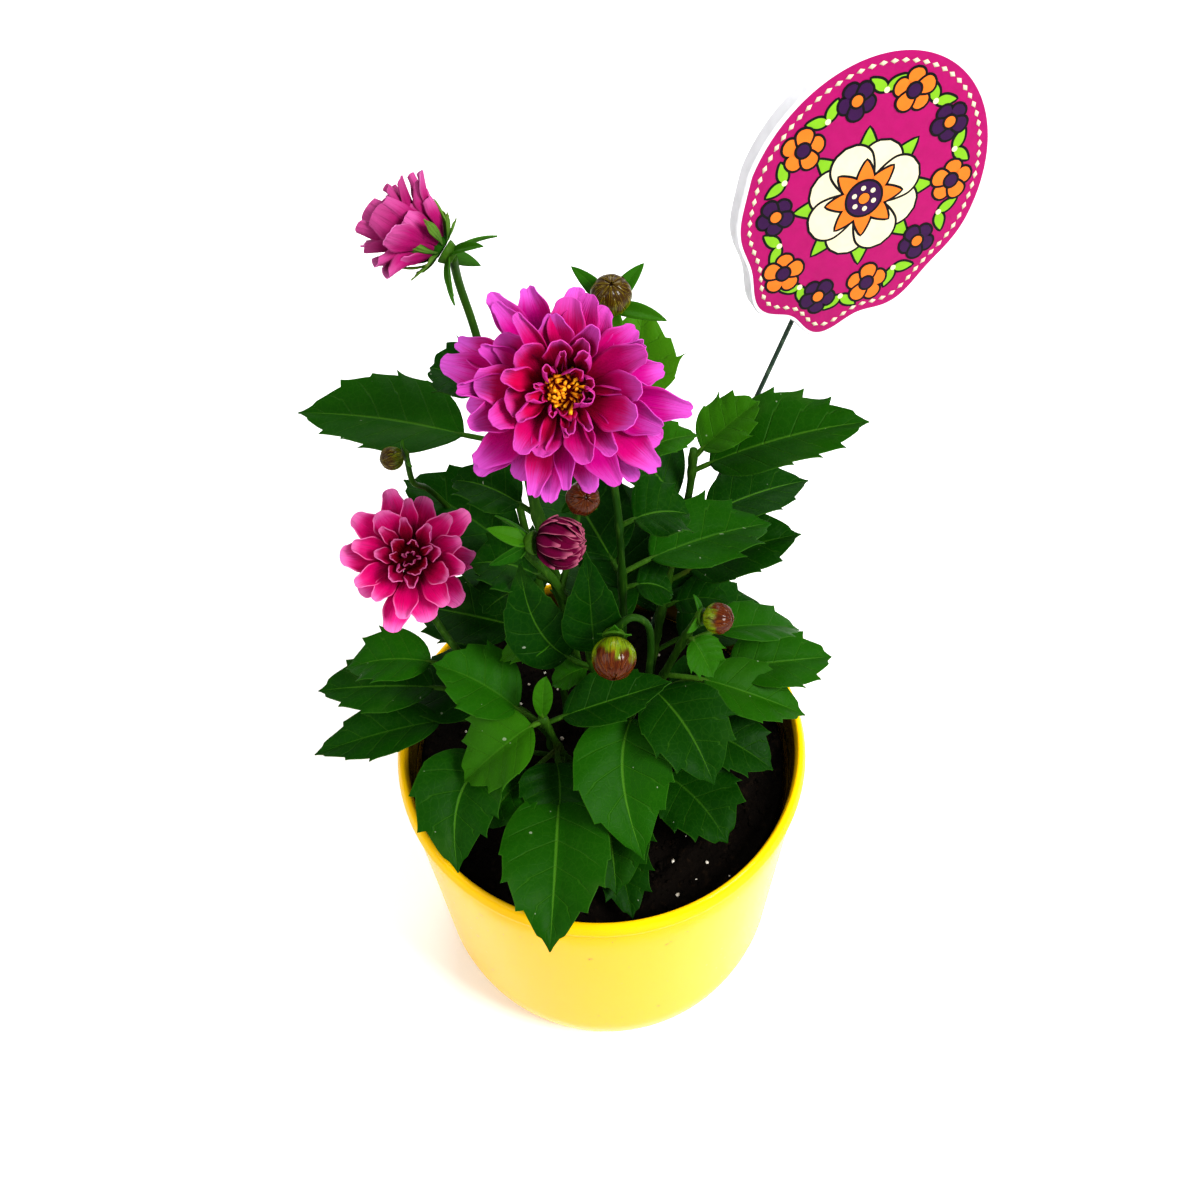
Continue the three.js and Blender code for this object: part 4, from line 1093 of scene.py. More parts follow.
# Where the petal stands, how it leans and how long it is. Every other one lies a little lower.
turn = given("Turn") + (petal + own(-0.17, 0.17, 1)) * math.tau / given("Count")
lean = given("Pitch") + 0.052 * even + own(-0.10, 0.10, 2) + (given("Curl") + own(-0.12, 0.12, 3)) * s
shaded = (turn - given("Short side")).cosine().rises(0.5, 1.0)
length = given("Length") * (1 + 0.05 * even + own(-0.08, 0.08, 4)) * (1 - given("Shortfall") * shaded)
# Its outline: narrow at its root, widest past its middle, and drawn in at its tip.
widening = 0.2 + 0.8 * s.rises(0.0, 0.72)
narrowing = 1 - (1 - given("Tip cut")) * s.rises(0.68, 1.0)
half = given("Width") / 2 * (1 + own(-0.12, 0.12, 5)) * widening * narrowing
# Its relief: cupped, wavy along its edges, twisted, pleated lengthwise, and drooping at its tip.
cupping = given("Cupping") * (1 + own(-0.35, 0.35, 6)) * (0.55 + 0.45 * s)
wrap = v * cupping
across = half * wrap.sine() / cupping
cupped = half * (1 - wrap.cosine()) / cupping
ripple_turn = s * per_petal(5.0, 10.0, 7) + per_petal(0.0, 6.28, 8) + v * 1.5
rippled = 0.10 * half * ripple_turn.sine() * wide**2 * s
twisted = own(-0.16, 0.16, 14) * across * s
pleat_turn = v * per_petal(8.0, 10.5, 9)
pleated = PLEAT_DEPTH * MM * pleat_turn.cosine() * s.rises(0.1, 0.5)
drooped = given("Droop") * length * (s**4) * (1 + own(-0.8, 0.8, 10))
lift = cupped + rippled + pleated + twisted - drooped
# Its tip, cut back at its sides and sometimes notched in the middle.
notch = given("Notch") * per_petal(0.0, 1.0, 11) * wide.rises(0.34, 0.0)
tip_back = (1 - given("Tip cut")) * 0.42 * given("Width") / length * wide ** given("Point")
reach = length * s * (1 - (tip_back + notch) * s**2)
sway = own(-0.06, 0.06, 12) * length * s**2
# All of it is turned up by its lean, and round the flower's axis.
out = given("Root radius") + lean.cosine() * reach - lean.sine() * lift
rise = given("Root height") + lean.sine() * reach + lean.cosine() * lift
sideways = across + sway
turned_out, turned_side = turn.cosine(), turn.sine()
blade = petal_ring.vector(s, v, per_petal(0.0, 1.0, 13))
petals = store(petal_ring, petals, "blade", "FLOAT_VECTOR", blade)
petals = petal_ring.node(
    "GeometryNodeSetPosition",
    None,
    {
        0: petals,
        "Position": petal_ring.vector(
            turned_out * out + turned_side * sideways, turned_side * out - turned_out * sideways, rise
        ),
    },
)


def thickened(tree, geometry, thickness):
    """The sheet gets a second face and closed edges. The mark 'upper' is 0 on the second face only."""
    lower = tree.node("GeometryNodeFlipFaces", None, {0: geometry})
    raised = tree.node(
        "GeometryNodeExtrudeMesh",
        {"mode": "FACES"},
        {"Mesh": geometry, "Individual": False, "Offset Scale": thickness},
    )
    raised = store(tree, raised, "upper", "FLOAT", 1.0, "FACE")
    both = tree.node("GeometryNodeJoinGeometry", None, {0: [raised, lower]})
    return tree.node("GeometryNodeMergeByDistance", None, {0: both, "Distance": 1e-7})


petals = store(petal_ring, petals, "depth", "FLOAT", given("Depth"))
petal_ring.close(thickened(petal_ring, petals, PETAL_THICKNESS * MM))

RING_LENGTHS = ("root_radius", "root_height", "length", "width")
RING_ANGLES = ("turn", "pitch", "curl", "short_side")


def ring_of_petals(name, finish, **shape):
    """One ring, made along +Z at the origin."""
    usual = {"cupping": 0.9, "tip_cut": 0.62, "point": 2.2, "notch": 0.0, "droop": 0.0}
    shape = usual | {"short_side": 0, "shortfall": 0.0, "unevenness": 1.0} | shape
    for label in RING_LENGTHS:
        shape[label] = shape[label] * MM
    for label in RING_ANGLES:
        shape[label] = math.radians(shape.get(label, 0))
    ring = new_piece(name, [(0, 0, 0)], [], [finish])
    return petal_ring.run(ring, finish=finish.material, **shape)


def joined(name, pieces):
    """Several pieces become one mesh."""
    with bpy.context.temp_override(active_object=pieces[0], selected_editable_objects=pieces):
        bpy.ops.object.join()
    pieces[0].name = name
    pieces[0].data.name = name
    return pieces[0]


def seated(piece, place, axis):
    """A piece made along +Z takes its place in its mesh."""
    turn = Vector(UP).rotation_difference(Vector(axis)).to_matrix().to_4x4()
    piece.data.transform(Matrix.Translation(Vector(place) * MM) @ turn)
    return piece


USUAL_RIM = {"start": 0.35, "width": 0.3, "share": 0.26}


def petal_skin(name, root, heart, body, tip, rim, back, tip_from, edging=USUAL_RIM, fold_shade=0.0):
    """Thin silky petal, paler towards its tip and along its rim, with painted shade at its root and fold."""
    skin = Finish(name, {"Specular IOR Level": 0.02})
    length_way, across_way, fate = skin.marks("blade")
    depth, upper = skin.mark("depth"), skin.mark("upper")
    place = skin.place()
    wide = abs(across_way)
    soft = skin.noise(place, 130, 3)
    veined = skin.noise(skin.vector(across_way * 13, length_way * 1.1, fate * 50), 1.6, 3)
    cloudy = skin.noise(place, 26, 1)
    way = length_way + (soft - 0.5) * 0.3 + (veined - 0.5) * 0.4 - wide * 0.05
    colour = skin.mix(depth.rises(0.1, 0.8), body, heart)
    # Some whole petals take the heart colour at random. Its low clouds are painted shade.
    colour = skin.mix(fate.rises(0.55, 0.95) * 0.4 + cloudy.rises(0.48, 0.62) * 0.35, colour, heart)
    # Darker towards the root: painted shade between the petals.
    colour = skin.mix(way.rises(0.10, 0.62), root, colour)
    colour = skin.mix(way.rises(tip_from, 0.98) * (1 - depth * 0.85) * (0.6 + fate * 0.4), colour, tip)
    edge = wide.at_least(length_way)
    rimmed = edge.rises(1 - edging["width"], 0.99) * way.rises(edging["start"], edging["start"] + 0.4)
    colour = skin.mix(rimmed * edging["share"], colour, rim)
    # Darker over one side of the petal: painted shade in its fold.
    colour = skin.mix(across_way.rises(0.2, -0.8) * fold_shade, colour, root)
    colour = skin.mix(upper.rises(0.9, 0.1) * 0.6, colour, back)
    colour = skin.mix(veined.rises(0.54, 0.70) * 0.34, colour, root)
    skin.feed("Base Color", colour)
    skin.feed("Roughness", 0.50 + soft * 0.12)
    skin.bump(veined * 0.8 + skin.noise(place, 1500, 1) * 0.2, 0.55, 0.0005)
    return skin


def plain_piece(name, points, faces, finish, blade):
    """A piece that carries the petals' marks, the same all over it."""
    piece = new_piece(name, points, faces, [finish], marks={"blade": [blade] * len(points)})
    for label, domain, count in (("depth", "POINT", len(points)), ("upper", "FACE", len(faces))):
        attribute = piece.data.attributes.new(label, "FLOAT", domain)
        attribute.data.foreach_set("value", [1.0] * count)
    return piece


def core(name, finish, radius, height, recess):
    """The swollen end of the stem that holds the petals, and the radius of its hollow top."""
    profile = [(0, 0), (radius * 0.7, 0)]
    profile += bow((radius * 0.7, 0), (radius * 1.05, height * 0.1), (radius, height * 0.4), 4)
    profile += bow((radius, height * 0.4), (radius * 0.9, height), (recess, height), 5)
    profile += [(recess * 0.5, height), (0, height)]
    points, faces = turned(profile, 32)
    return plain_piece(name, points, faces, finish, (0.0, 0.0, 0.5))


def bloom(name, head, slot, finish, rings, core_size, seed, calyx=()):
    """A flower head: its core, any calyx and its rings of petals, outer ring first, on its stem."""
    pieces = [core(name + "_core", GREEN_CUP if calyx else finish, *core_size)]
    for number, ring in enumerate(calyx):
        pieces.append(ring_of_petals(f"{name}_calyx_{number}", GREEN_CUP, seed=seed - 9 + number, **ring))
    for number, ring in enumerate(rings):
        depth = number / (len(rings) - 1)
        pieces.append(
            ring_of_petals(f"{name}_ring_{number}", finish, depth=depth, seed=seed + 31 * number, **ring)
        )
    whole = seated(joined(name + "_bloom", pieces), *HEADS[head])
    settle(whole, slot, name)


# A petal's colours run from its root through its heart and body to its tip.
GREEN_CUP = petal_skin(
    "green_calyx",
    root=(0.012, 0.060, 0.003, 1),
    heart=(0.040, 0.110, 0.006, 1),
    body=(0.075, 0.165, 0.012, 1),
    tip=(0.17, 0.19, 0.040, 1),
    rim=(0.16, 0.20, 0.060, 1),
    back=(0.11, 0.21, 0.040, 1),
    tip_from=0.7,
)
MAGENTA = petal_skin(
    "magenta_petal",
    root=(0.200, 0.0010, 0.012, 1),
    heart=(0.46, 0.0020, 0.055, 1),
    body=(0.37, 0.0010, 0.170, 1),
    tip=(0.52, 0.100, 0.50, 1),
    rim=(0.50, 0.090, 0.45, 1),
    back=(0.42, 0.030, 0.26, 1),
    tip_from=0.62,
)
# Rings of petals, from the outer to the inner. Angles are in degrees.
MAIN_RINGS = [
    {"count": 16, "turn": 15, "root_radius": 5, "root_height": 2.2, "pitch": 1, "curl": -9, "length": 26}
    | {"width": 10.4, "cupping": 1.0, "tip_cut": 0.55, "point": 1.7, "notch": 0.04, "droop": 0.05}
    | {"short_side": 62, "shortfall": 0.24, "unevenness": 1.6},
    {"count": 15, "turn": 3, "root_radius": 4.6, "root_height": 3.2, "pitch": 13, "curl": -1, "length": 24}
    | {"width": 10.2, "cupping": 1.2, "tip_cut": 0.57, "point": 1.8, "notch": 0.04}
    | {"short_side": 62, "shortfall": 0.2, "unevenness": 1.8},
    {"count": 13, "turn": 33, "root_radius": 4.2, "root_height": 4.2, "pitch": 27, "curl": 4, "length": 20.5}
    | {"width": 9.8, "cupping": 1.35, "tip_cut": 0.7, "point": 2.4, "unevenness": 1.9},
    {"count": 12, "turn": 5, "root_radius": 3.9, "root_height": 5, "pitch": 40, "curl": 9, "length": 17}
    | {"width": 8.6, "cupping": 1.6, "tip_cut": 0.74, "unevenness": 2.0},
    {"count": 10, "turn": 27, "root_radius": 3.8, "root_height": 5.6, "pitch": 52, "curl": 12, "length": 12.5}
    | {"width": 7.4, "cupping": 1.7, "tip_cut": 0.72, "unevenness": 2.0},
    {"count": 9, "turn": 10, "root_radius": 3.9, "root_height": 6.4, "pitch": 55, "curl": 4, "length": 6.5}
    | {"width": 4, "cupping": 1.6, "tip_cut": 0.55, "unevenness": 2.2},
]
bloom("petals_main", "main", "petals_magenta", MAGENTA, MAIN_RINGS, (6.2, 7.6, 3.4), seed=100)

HOT_PINK = petal_skin(
    "hot_pink_petal",
    root=(0.085, 0.0, 0.004, 1),
    heart=(0.32, 0.0005, 0.028, 1),
    body=(0.60, 0.0020, 0.150, 1),
    tip=(0.70, 0.085, 0.38, 1),
    rim=(0.82, 0.32, 0.60, 1),
    back=(0.52, 0.05, 0.25, 1),
    tip_from=0.6,
    edging={"start": 0.4, "width": 0.2, "share": 0.4},
)
LEFT_RINGS = [
    {"count": 10, "turn": 0, "root_radius": 3.4, "root_height": 1.4, "pitch": 2, "curl": 0, "length": 18.6}
    | {"width": 10.6, "cupping": 0.95, "tip_cut": 0.66, "point": 2.2, "unevenness": 1.1},
    {"count": 10, "turn": 20, "root_radius": 3.4, "root_height": 2.4, "pitch": 17, "curl": 5, "length": 15.6}
    | {"width": 9.4, "cupping": 1.15, "tip_cut": 0.66, "point": 2.2, "unevenness": 1.2},
    {"count": 8, "turn": 8, "root_radius": 3.0, "root_height": 3.4, "pitch": 33, "curl": 10, "length": 12}
    | {"width": 7.8, "cupping": 1.4, "tip_cut": 0.68, "unevenness": 1.4},
    {"count": 7, "turn": 31, "root_radius": 2.6, "root_height": 4.2, "pitch": 48, "curl": 14, "length": 8.2}
    | {"width": 5.8, "cupping": 1.7, "tip_cut": 0.68, "unevenness": 1.5},
    {"count": 6, "turn": 3, "root_radius": 1.6, "root_height": 4.4, "pitch": 66, "curl": 14, "length": 5}
    | {"width": 3.8, "cupping": 1.9, "tip_cut": 0.66, "unevenness": 1.5},
]
bloom("petals_left", "left", "petals_hot_pink", HOT_PINK, LEFT_RINGS, (4.3, 5.2, 2.2), seed=400)

ROSE_PINK = petal_skin(
    "rose_petal",
    root=(0.055, 0.0, 0.008, 1),
    heart=(0.17, 0.0004, 0.045, 1),
    body=(0.30, 0.0018, 0.095, 1),
    tip=(0.66, 0.170, 0.46, 1),
    rim=(0.68, 0.26, 0.52, 1),
    back=(0.30, 0.012, 0.12, 1),
    tip_from=0.55,
)
REAR_RINGS = [
    {"count": 9, "turn": 0, "root_radius": 2.6, "root_height": 1.2, "pitch": 36, "curl": 10, "length": 12.5}
    | {"width": 10, "cupping": 1.1, "tip_cut": 0.7, "point": 2.2, "unevenness": 1.9},
    {"count": 10, "turn": 22, "root_radius": 2.4, "root_height": 2, "pitch": 43, "curl": 10, "length": 15.5}
    | {"width": 10, "cupping": 1.3, "tip_cut": 0.72, "unevenness": 2.2},
    {"count": 10, "turn": 10, "root_radius": 2, "root_height": 3, "pitch": 51, "curl": 10, "length": 17.5}
    | {"width": 9.6, "cupping": 1.5, "tip_cut": 0.74, "unevenness": 2.2},
    {"count": 9, "turn": 35, "root_radius": 1.6, "root_height": 3.4, "pitch": 60, "curl": 10, "length": 18}
    | {"width": 8.8, "cupping": 1.7, "tip_cut": 0.74, "unevenness": 2.3},
    {"count": 8, "turn": 12, "root_radius": 1.2, "root_height": 3.8, "pitch": 70, "curl": 8, "length": 16.5}
    | {"width": 7.8, "cupping": 1.8, "tip_cut": 0.74, "unevenness": 2.3},
    {"count": 6, "turn": 30, "root_radius": 0.8, "root_height": 4, "pitch": 79, "curl": 8, "length": 14}
    | {"width": 6.4, "cupping": 1.8, "tip_cut": 0.65, "unevenness": 1.8},
]
REAR_CALYX = [
    {"count": 7, "turn": 12, "root_radius": 3.0, "root_height": 0.5, "pitch": 24, "curl": 22, "length": 12}
    | {"width": 3.4, "cupping": 0.6, "tip_cut": 0.2, "point": 1.2, "unevenness": 1.6, "depth": 0.2},
    {"count": 6, "turn": 38, "root_radius": 2.6, "root_height": 0.2, "pitch": 2, "curl": 12, "length": 8}
    | {"width": 2.8, "cupping": 0.6, "tip_cut": 0.2, "point": 1.2, "unevenness": 1.6, "depth": 0.6},
]
bloom(
    "petals_rear_left", "rear_left", "petals_pink", ROSE_PINK, REAR_RINGS, (3.4, 5.6, 1.6), 700, REAR_CALYX
)


# The yellow middle of the main bloom
# Tiny tubular florets, flared at their mouths, stand packed in a spiral on a low dome, the outer ones
# leaning outwards. They are soft tissue, bright with pollen.

DISC_RADIUS = 4.6
DISC_HEIGHT = 8.4
DISC_RISE = 1.9
FLORETS = 72
FLORET_SIZE = 0.95
FLORET_FOOT = (0.40, 0.045, 0.006, 1)
FLORET_YELLOW = (0.80, 0.33, 0.006, 1)
POLLEN_YELLOW = (0.95, 0.58, 0.02, 1)
POLLEN_RUST = (0.62, 0.14, 0.01, 1)

floret_spiral = Repeat("Florets in a spiral", ["Count", "Radius", "Rise", "Size", "Seed", "Finish"])
given = floret_spiral.given
spots = floret_spiral.node("GeometryNodePoints", None, {"Count": given("Count")})
index = floret_spiral.node("GeometryNodeInputIndex")
outward = ((index + 0.5) / given("Count")) ** 0.5
golden = index * (math.pi * (3 - 5**0.5))
flat_way = given("Radius") * outward
spots = floret_spiral.node(
    "GeometryNodeSetPosition",
    None,
    {
        0: spots,
        "Position": floret_spiral.vector(
            flat_way * golden.cosine(),
            flat_way * golden.sine(),
            given("Rise") * (1 - outward**2),
        ),
    },
)
seed = given("Seed")
tube_part = floret_spiral.node(
    "GeometryNodeMeshCone",
    {"fill_type": "TRIANGLE_FAN"},
    {"Vertices": 7, "Side Segments": 3, "Radius Top": 0.42, "Radius Bottom": 0.2, "Depth": 2.2},
)
jitter = [floret_spiral.random(-0.45, 0.45, seed + step) for step in (1, 2)]
size = given("Size") * floret_spiral.random(0.65, 1.35, seed + 3)
lean = outward * 0.75
florets = floret_spiral.node(
    "GeometryNodeInstanceOnPoints",
    None,
    {
        "Points": spots,
        "Instance": tube_part,
        "Rotation": floret_spiral.vector(
            jitter[0] - lean * golden.sine(),
            jitter[1] + lean * golden.cosine(),
            golden,
        ),
        "Scale": floret_spiral.vector(size, size, size * floret_spiral.random(0.8, 1.5, seed + 4)),
    },
)
florets = floret_spiral.node("GeometryNodeRealizeInstances", None, {0: florets})
up_disc = floret_spiral.parts(floret_spiral.node("GeometryNodeInputPosition"))[2]
florets = store(floret_spiral, florets, "height", "FLOAT", up_disc)
floret_spiral.close(florets)

pollen = Finish("yellow_florets", {"Specular IOR Level": 0.3})
lifted = pollen.mark("height") / MM
place = pollen.place()
grainy = pollen.noise(place, 1300, 3)
patchy = pollen.noise(place, 330, 2)
colour = pollen.mix(lifted.rises(0.0, 2.2), FLORET_FOOT, FLORET_YELLOW)
colour = pollen.mix(patchy.rises(0.5, 0.66) * lifted.rises(0.8, 2.4), colour, POLLEN_YELLOW)
colour = pollen.mix(grainy.rises(0.6, 0.75) * 0.5, colour, POLLEN_RUST)
pollen.feed("Base Color", colour)
pollen.feed("Roughness", 0.6 + grainy * 0.2)
pollen.bump(grainy, 0.6, 0.0004)

disc = new_piece("disc_florets", [(0, 0, 0)], [], [pollen])
floret_spiral.run(
    disc,
    count=FLORETS,
    radius=DISC_RADIUS * MM,
    rise=DISC_RISE * MM,
    size=FLORET_SIZE * MM,
    seed=7,
    finish=pollen.material,
)
disc_base, disc_axis = HEADS["main"]
seated(disc, disc_base + disc_axis * DISC_HEIGHT, disc_axis)
settle(disc, "disc_yellow", "disc_main")


# The buds
# Round, tight buds wrapped in overlapping waxy scales, green where they are young and a
# glossy red-brown where they are ripe. The opening bud shows its folded purple petals.

SCALE_THICKNESS = 0.35
SCALE_EDGE = (0.020, 0.009, 0.002, 1)
OPENING_RADIUS = 7

scale_ring = Repeat(
    "Ring of scales",
    ["Count", "Turn", "Radius", "Start", "End", "Half width", "Lift", "Crease"]
    + ["Lean", "Swirl", "Unevenness", "Seed", "Finish"],
)
given = scale_ring.given
seed = given("Seed")
patch = scale_ring.node(
    "GeometryNodeMeshGrid", None, {"Size X": 1.0, "Size Y": 1.0, "Vertices X": 9, "Vertices Y": 15}
)
spots = scale_ring.node("GeometryNodePoints", None, {"Count": given("Count")})
scales = scale_ring.node("GeometryNodeInstanceOnPoints", None, {"Points": spots, "Instance": patch})
index = scale_ring.node("GeometryNodeInputIndex")
scales = store(scale_ring, scales, "scale", "FLOAT", index, "INSTANCE")
scales = scale_ring.node("GeometryNodeRealizeInstances", None, {0: scales})
scale = scale_ring.node("GeometryNodeInputNamedAttribute", {"data_type": "FLOAT"}, {"Name": "scale"})


def per_scale(low, high, step):
    """A number that is the same all over one scale and differs from the next one's."""
    values = {2: low, 3: high, 7: scale, 8: seed + step}
    return scale_ring.node("FunctionNodeRandomValue", None, values, output=1)


wide_way, long_way, _ = scale_ring.parts(scale_ring.node("GeometryNodeInputPosition"))
v = wide_way * 2
s = long_way + 0.5
wide = abs(v)
turn = given("Turn") + (scale + per_scale(-0.2, 0.2, 1) * given("Unevenness")) * math.tau / given("Count")
end = given("End") * (1 + per_scale(-0.35, 0.35, 2) * given("Unevenness"))
down = given("Start") + (end - given("Start")) * s * (1 - 0.10 * wide**2 * s)
half = given("Half width") * (0.62 + 0.38 * s.rises(0.0, 0.45)) * (1 - 0.82 * s.rises(0.55, 1.0))
sine = down.sine()
swirled = given("Swirl") * (s - 0.3)
around = turn + swirled + v * half / sine.at_least(0.28)
creased = given("Crease") * (1 - wide * 1.6).at_least(0.0) * s.rises(0.0, 0.3)
leaning = given("Lean") * v * s.rises(0.0, 0.3)
raised = given("Lift") * (0.35 + s * 0.65 - wide**2 * 0.4) + creased + leaning
away = given("Radius") + raised
blade = scale_ring.vector(s, v, per_scale(0.0, 1.0, 3))
scales = store(scale_ring, scales, "blade", "FLOAT_VECTOR", blade)
scales = store(scale_ring, scales, "depth", "FLOAT", 0.5 + 0.5 * down.cosine())
scales = scale_ring.node(
    "GeometryNodeSetPosition",
    None,
    {
        0: scales,
        "Position": scale_ring.vector(
            away * sine * around.cosine(),
            away * sine * around.sine(),
            away * down.cosine(),
        ),
    },
)
scale_ring.close(thickened(scale_ring, scales, SCALE_THICKNESS * MM))

SCALE_LENGTHS = ("radius", "lift", "crease", "lean")
SCALE_ANGLES = ("turn", "start", "end", "half_width", "swirl")


def ring_of_scales(name, finish, **shape):
    usual = {"turn": 0, "lift": 0.3, "crease": 0.0, "lean": 0.0, "swirl": 0, "unevenness": 1.0}
    shape = usual | shape
    for label in SCALE_LENGTHS:
        shape[label] = shape[label] * MM
    for label in SCALE_ANGLES:
        shape[label] = math.radians(shape[label])
    ring = new_piece(name, [(0, 0, 0)], [], [finish])
    return scale_ring.run(ring, finish=finish.material, **shape)


def ball(name, finish, radius):
    """The tight round heart of a bud, centred on the origin."""
    arc = np.linspace(-math.pi / 2, math.pi / 2, 22)
    profile = [(radius * math.cos(a), radius * math.sin(a)) for a in arc]
    profile[0], profile[-1] = (0, -radius), (0, radius)
    points, faces = turned(profile, 40)
    return plain_piece(name, points, faces, finish, (0.3, 0.0, 0.5))


def bud_skin(name, young, ripe, light, ripeness):
    """Waxy scales: each is dark along its edges, paler down its middle and very smooth, with painted glints.
    """
    skin = Finish(name, {"Coat Weight": 0.26, "Coat Roughness": 0.03, "Specular IOR Level": 0.03})
    length_way, across_way, fate = skin.marks("blade")
    depth = skin.mark("depth")
    place = skin.place()
    wide = abs(across_way)
    soft = skin.noise(place, 260, 3)
    lines = skin.noise(skin.vector(across_way * 9, length_way * 0.8, fate * 40), 2.2, 2)
    ripe_share = (depth + (soft - 0.5) * 0.5 + (fate - 0.5) * 0.3 + (ripeness - 0.5)).rises(0.35, 0.62)
    colour = skin.mix(ripe_share, young, ripe)
    # Streaks of the light colour: painted glints.
    colour = skin.mix(lines.rises(0.56, 0.68) * 0.45, colour, light)
    colour = skin.mix(lines.rises(0.48, 0.38) * 0.75, colour, SCALE_EDGE)
    colour = skin.mix(wide.rises(0.55, 1.0) * 0.8, colour, SCALE_EDGE)
    skin.feed("Base Color", colour)
    skin.feed("Roughness", 0.26 + soft * 0.18)
    skin.bump(lines * 0.6 + soft * 0.3, 0.25, 0.0005)
    return skin


# Where each ring of scales starts and ends, and half a scale's width, in degrees from the bud's top.
BUD_RINGS = ((95, 6, 27), (130, 34, 30), (165, 66, 30))


def round_bud(name, head, radius, ridges, finish, seed):
    """A closed bud, as tall as it is wide, standing on its head's base."""
    small = radius - 0.45
    pieces = [ball(name + "_heart", finish, small - 0.1)]
    for number, (start, end, half_width) in enumerate(BUD_RINGS):
        pieces.append(
            ring_of_scales(
                f"{name}_scales_{number}",
                finish,
                count=ridges if number < 2 else ridges - 1,
                turn=number * 26,
                radius=small,
                start=start,
                end=end,
                half_width=half_width * 7 / ridges,
                lift=0.22 + 0.06 * number,
                crease=0.12,
                seed=seed + number,
            )
        )
    whole = joined(name + "_round", pieces)
    base, axis = HEADS[head]
    seated(whole, base + axis * radius, axis)
    settle(whole, "bud_skin", name)


# Each bud's light colour is the colour of its painted glints.
OLIVE = bud_skin(
    "olive_bud",
    young=(0.070, 0.095, 0.002, 1),
    ripe=(0.040, 0.019, 0.002, 1),
    light=(0.46, 0.38, 0.010, 1),
    ripeness=0.42,
)
BROWN = bud_skin(
    "brown_bud",
    young=(0.055, 0.060, 0.003, 1),
    ripe=(0.060, 0.010, 0.002, 1),
    light=(0.22, 0.09, 0.010, 1),
    ripeness=0.62,
)
COPPER = bud_skin(
    "copper_bud",
    young=(0.13, 0.21, 0.004, 1),
    ripe=(0.066, 0.009, 0.001, 1),
    light=(0.30, 0.12, 0.008, 1),
    ripeness=0.53,
)
for name, head, radius, ridges, finish, seed in (
    ("bud_under_main", "brown", 4.6, 7, BROWN, 3),
    ("bud_rear", "rear", 5.6, 7, OLIVE, 13),
    ("bud_nodding", "nodding", 6.6, 8, COPPER, 23),
    ("bud_right", "right", 4.6, 7, COPPER, 33),
    ("bud_small", "small", 3.4, 6, OLIVE, 43),
):
    round_bud(name, head, radius, ridges, finish, seed)

PURPLE = petal_skin(
    "purple_petal",
    root=(0.010, 0.0, 0.002, 1),
    heart=(0.090, 0.0008, 0.024, 1),
    body=(0.115, 0.0010, 0.036, 1),
    tip=(0.18, 0.006, 0.080, 1),
    rim=(0.50, 0.15, 0.22, 1),
    back=(0.10, 0.004, 0.035, 1),
    tip_from=0.7,
    edging={"start": 0.0, "width": 0.24, "share": 0.6},
    fold_shade=0.95,
)
# The same for its rings of folded strips, with their count and how far they stand off.
OPENING_STRIPS = ((70, 4, 15, 8, 0.2), (92, 20, 13, 12, 0.6), (120, 44, 14, 13, 0.9), (160, 70, 15, 12, 1.2))
opening_pieces = [ball("opening_heart", PURPLE, OPENING_RADIUS - 0.9)]
for number, (start, end, half_width, count, lift) in enumerate(OPENING_STRIPS):
    opening_pieces.append(
        ring_of_scales(
            f"opening_strips_{number}",
            PURPLE,
            count=count,
            turn=number * 14,
            radius=OPENING_RADIUS - 0.9,
            start=start,
            end=end,
            half_width=half_width,
            lift=lift,
            crease=0.3,
            lean=0.55,
            swirl=34,
            unevenness=1.3,
            seed=60 + number,
        )
    )
opening_pieces = [seated(joined("opening_ball", opening_pieces), (0, 0, OPENING_RADIUS), UP)]
opening_pieces.append(
    ring_of_petals(
        "opening_guard",
        PURPLE,
        count=5,
        root_radius=4.6,
        root_height=1.6,
        pitch=62,
        curl=40,
        length=11,
        width=7,
        cupping=0.5,
        tip_cut=0.5,
        point=1.7,
        depth=0.3,
        unevenness=0.6,
        seed=90,
    )
)
opening = seated(joined("petals_opening", opening_pieces), *HEADS["opening"])
settle(opening, "petals_purple", "petals_opening_bud")


# The decorative pick
# A printed oval board of white foamed sheet, with a scalloped lower edge, is glued to a thin
# green-coated wire that is pushed into the soil. The print is a folk flower in a wreath.

PICK_FOOT = Vector((19.3, 52.3, 118))
PICK_TOP = Vector((65.7, 84, 241))
BOARD_WIDTH = 79
BOARD_LENGTH = 90
BOARD_THICKNESS = 5.5
BOARD_TURN = 15
WIRE_RADIUS = 0.9
WIRE_BURIED = 40
WIRE_UP_BOARD = 0.7
WIRE_GAP = 0.3
INK = 0.1
PRINTED_FACE = BOARD_THICKNESS + INK / 2
EDGE_POINTS = 264
SHARP_FROM = math.radians(35)

wire_way = (PICK_TOP - PICK_FOOT).normalized()
wire_foot = PICK_FOOT - wire_way * WIRE_BURIED
board_start = (PICK_TOP - wire_foot).length
wire_length = board_start + WIRE_UP_BOARD * BOARD_LENGTH
pick_frame = (
    Matrix.Translation(wire_foot)
    @ Vector(UP).rotation_difference(wire_way).to_matrix().to_4x4()
    @ Matrix.Rotation(math.radians(BOARD_TURN), 4, "Z")
)
board_frame = (
    pick_frame
    @ Matrix.Translation((0, -WIRE_RADIUS - WIRE_GAP, board_start + BOARD_LENGTH / 2))
    @ Matrix.Rotation(math.pi / 2, 4, "X")
)


def in_frame(matrix, points):
    return [matrix @ Vector(point) for point in points]


def board_edge(angle, inset):
    """A point of the board's outline, or of one that lies inside it by an inset."""
    lower = max(0, -math.sin(angle))
    lobe = 1 + 0.05 * lower * math.cos(9 * angle)
    x = (0.5 * BOARD_WIDTH - inset) * lobe * math.cos(angle) * (1 - 0.1 * lower)
    y = (0.5 * BOARD_LENGTH - inset) * lobe * math.sin(angle)
    return x, y


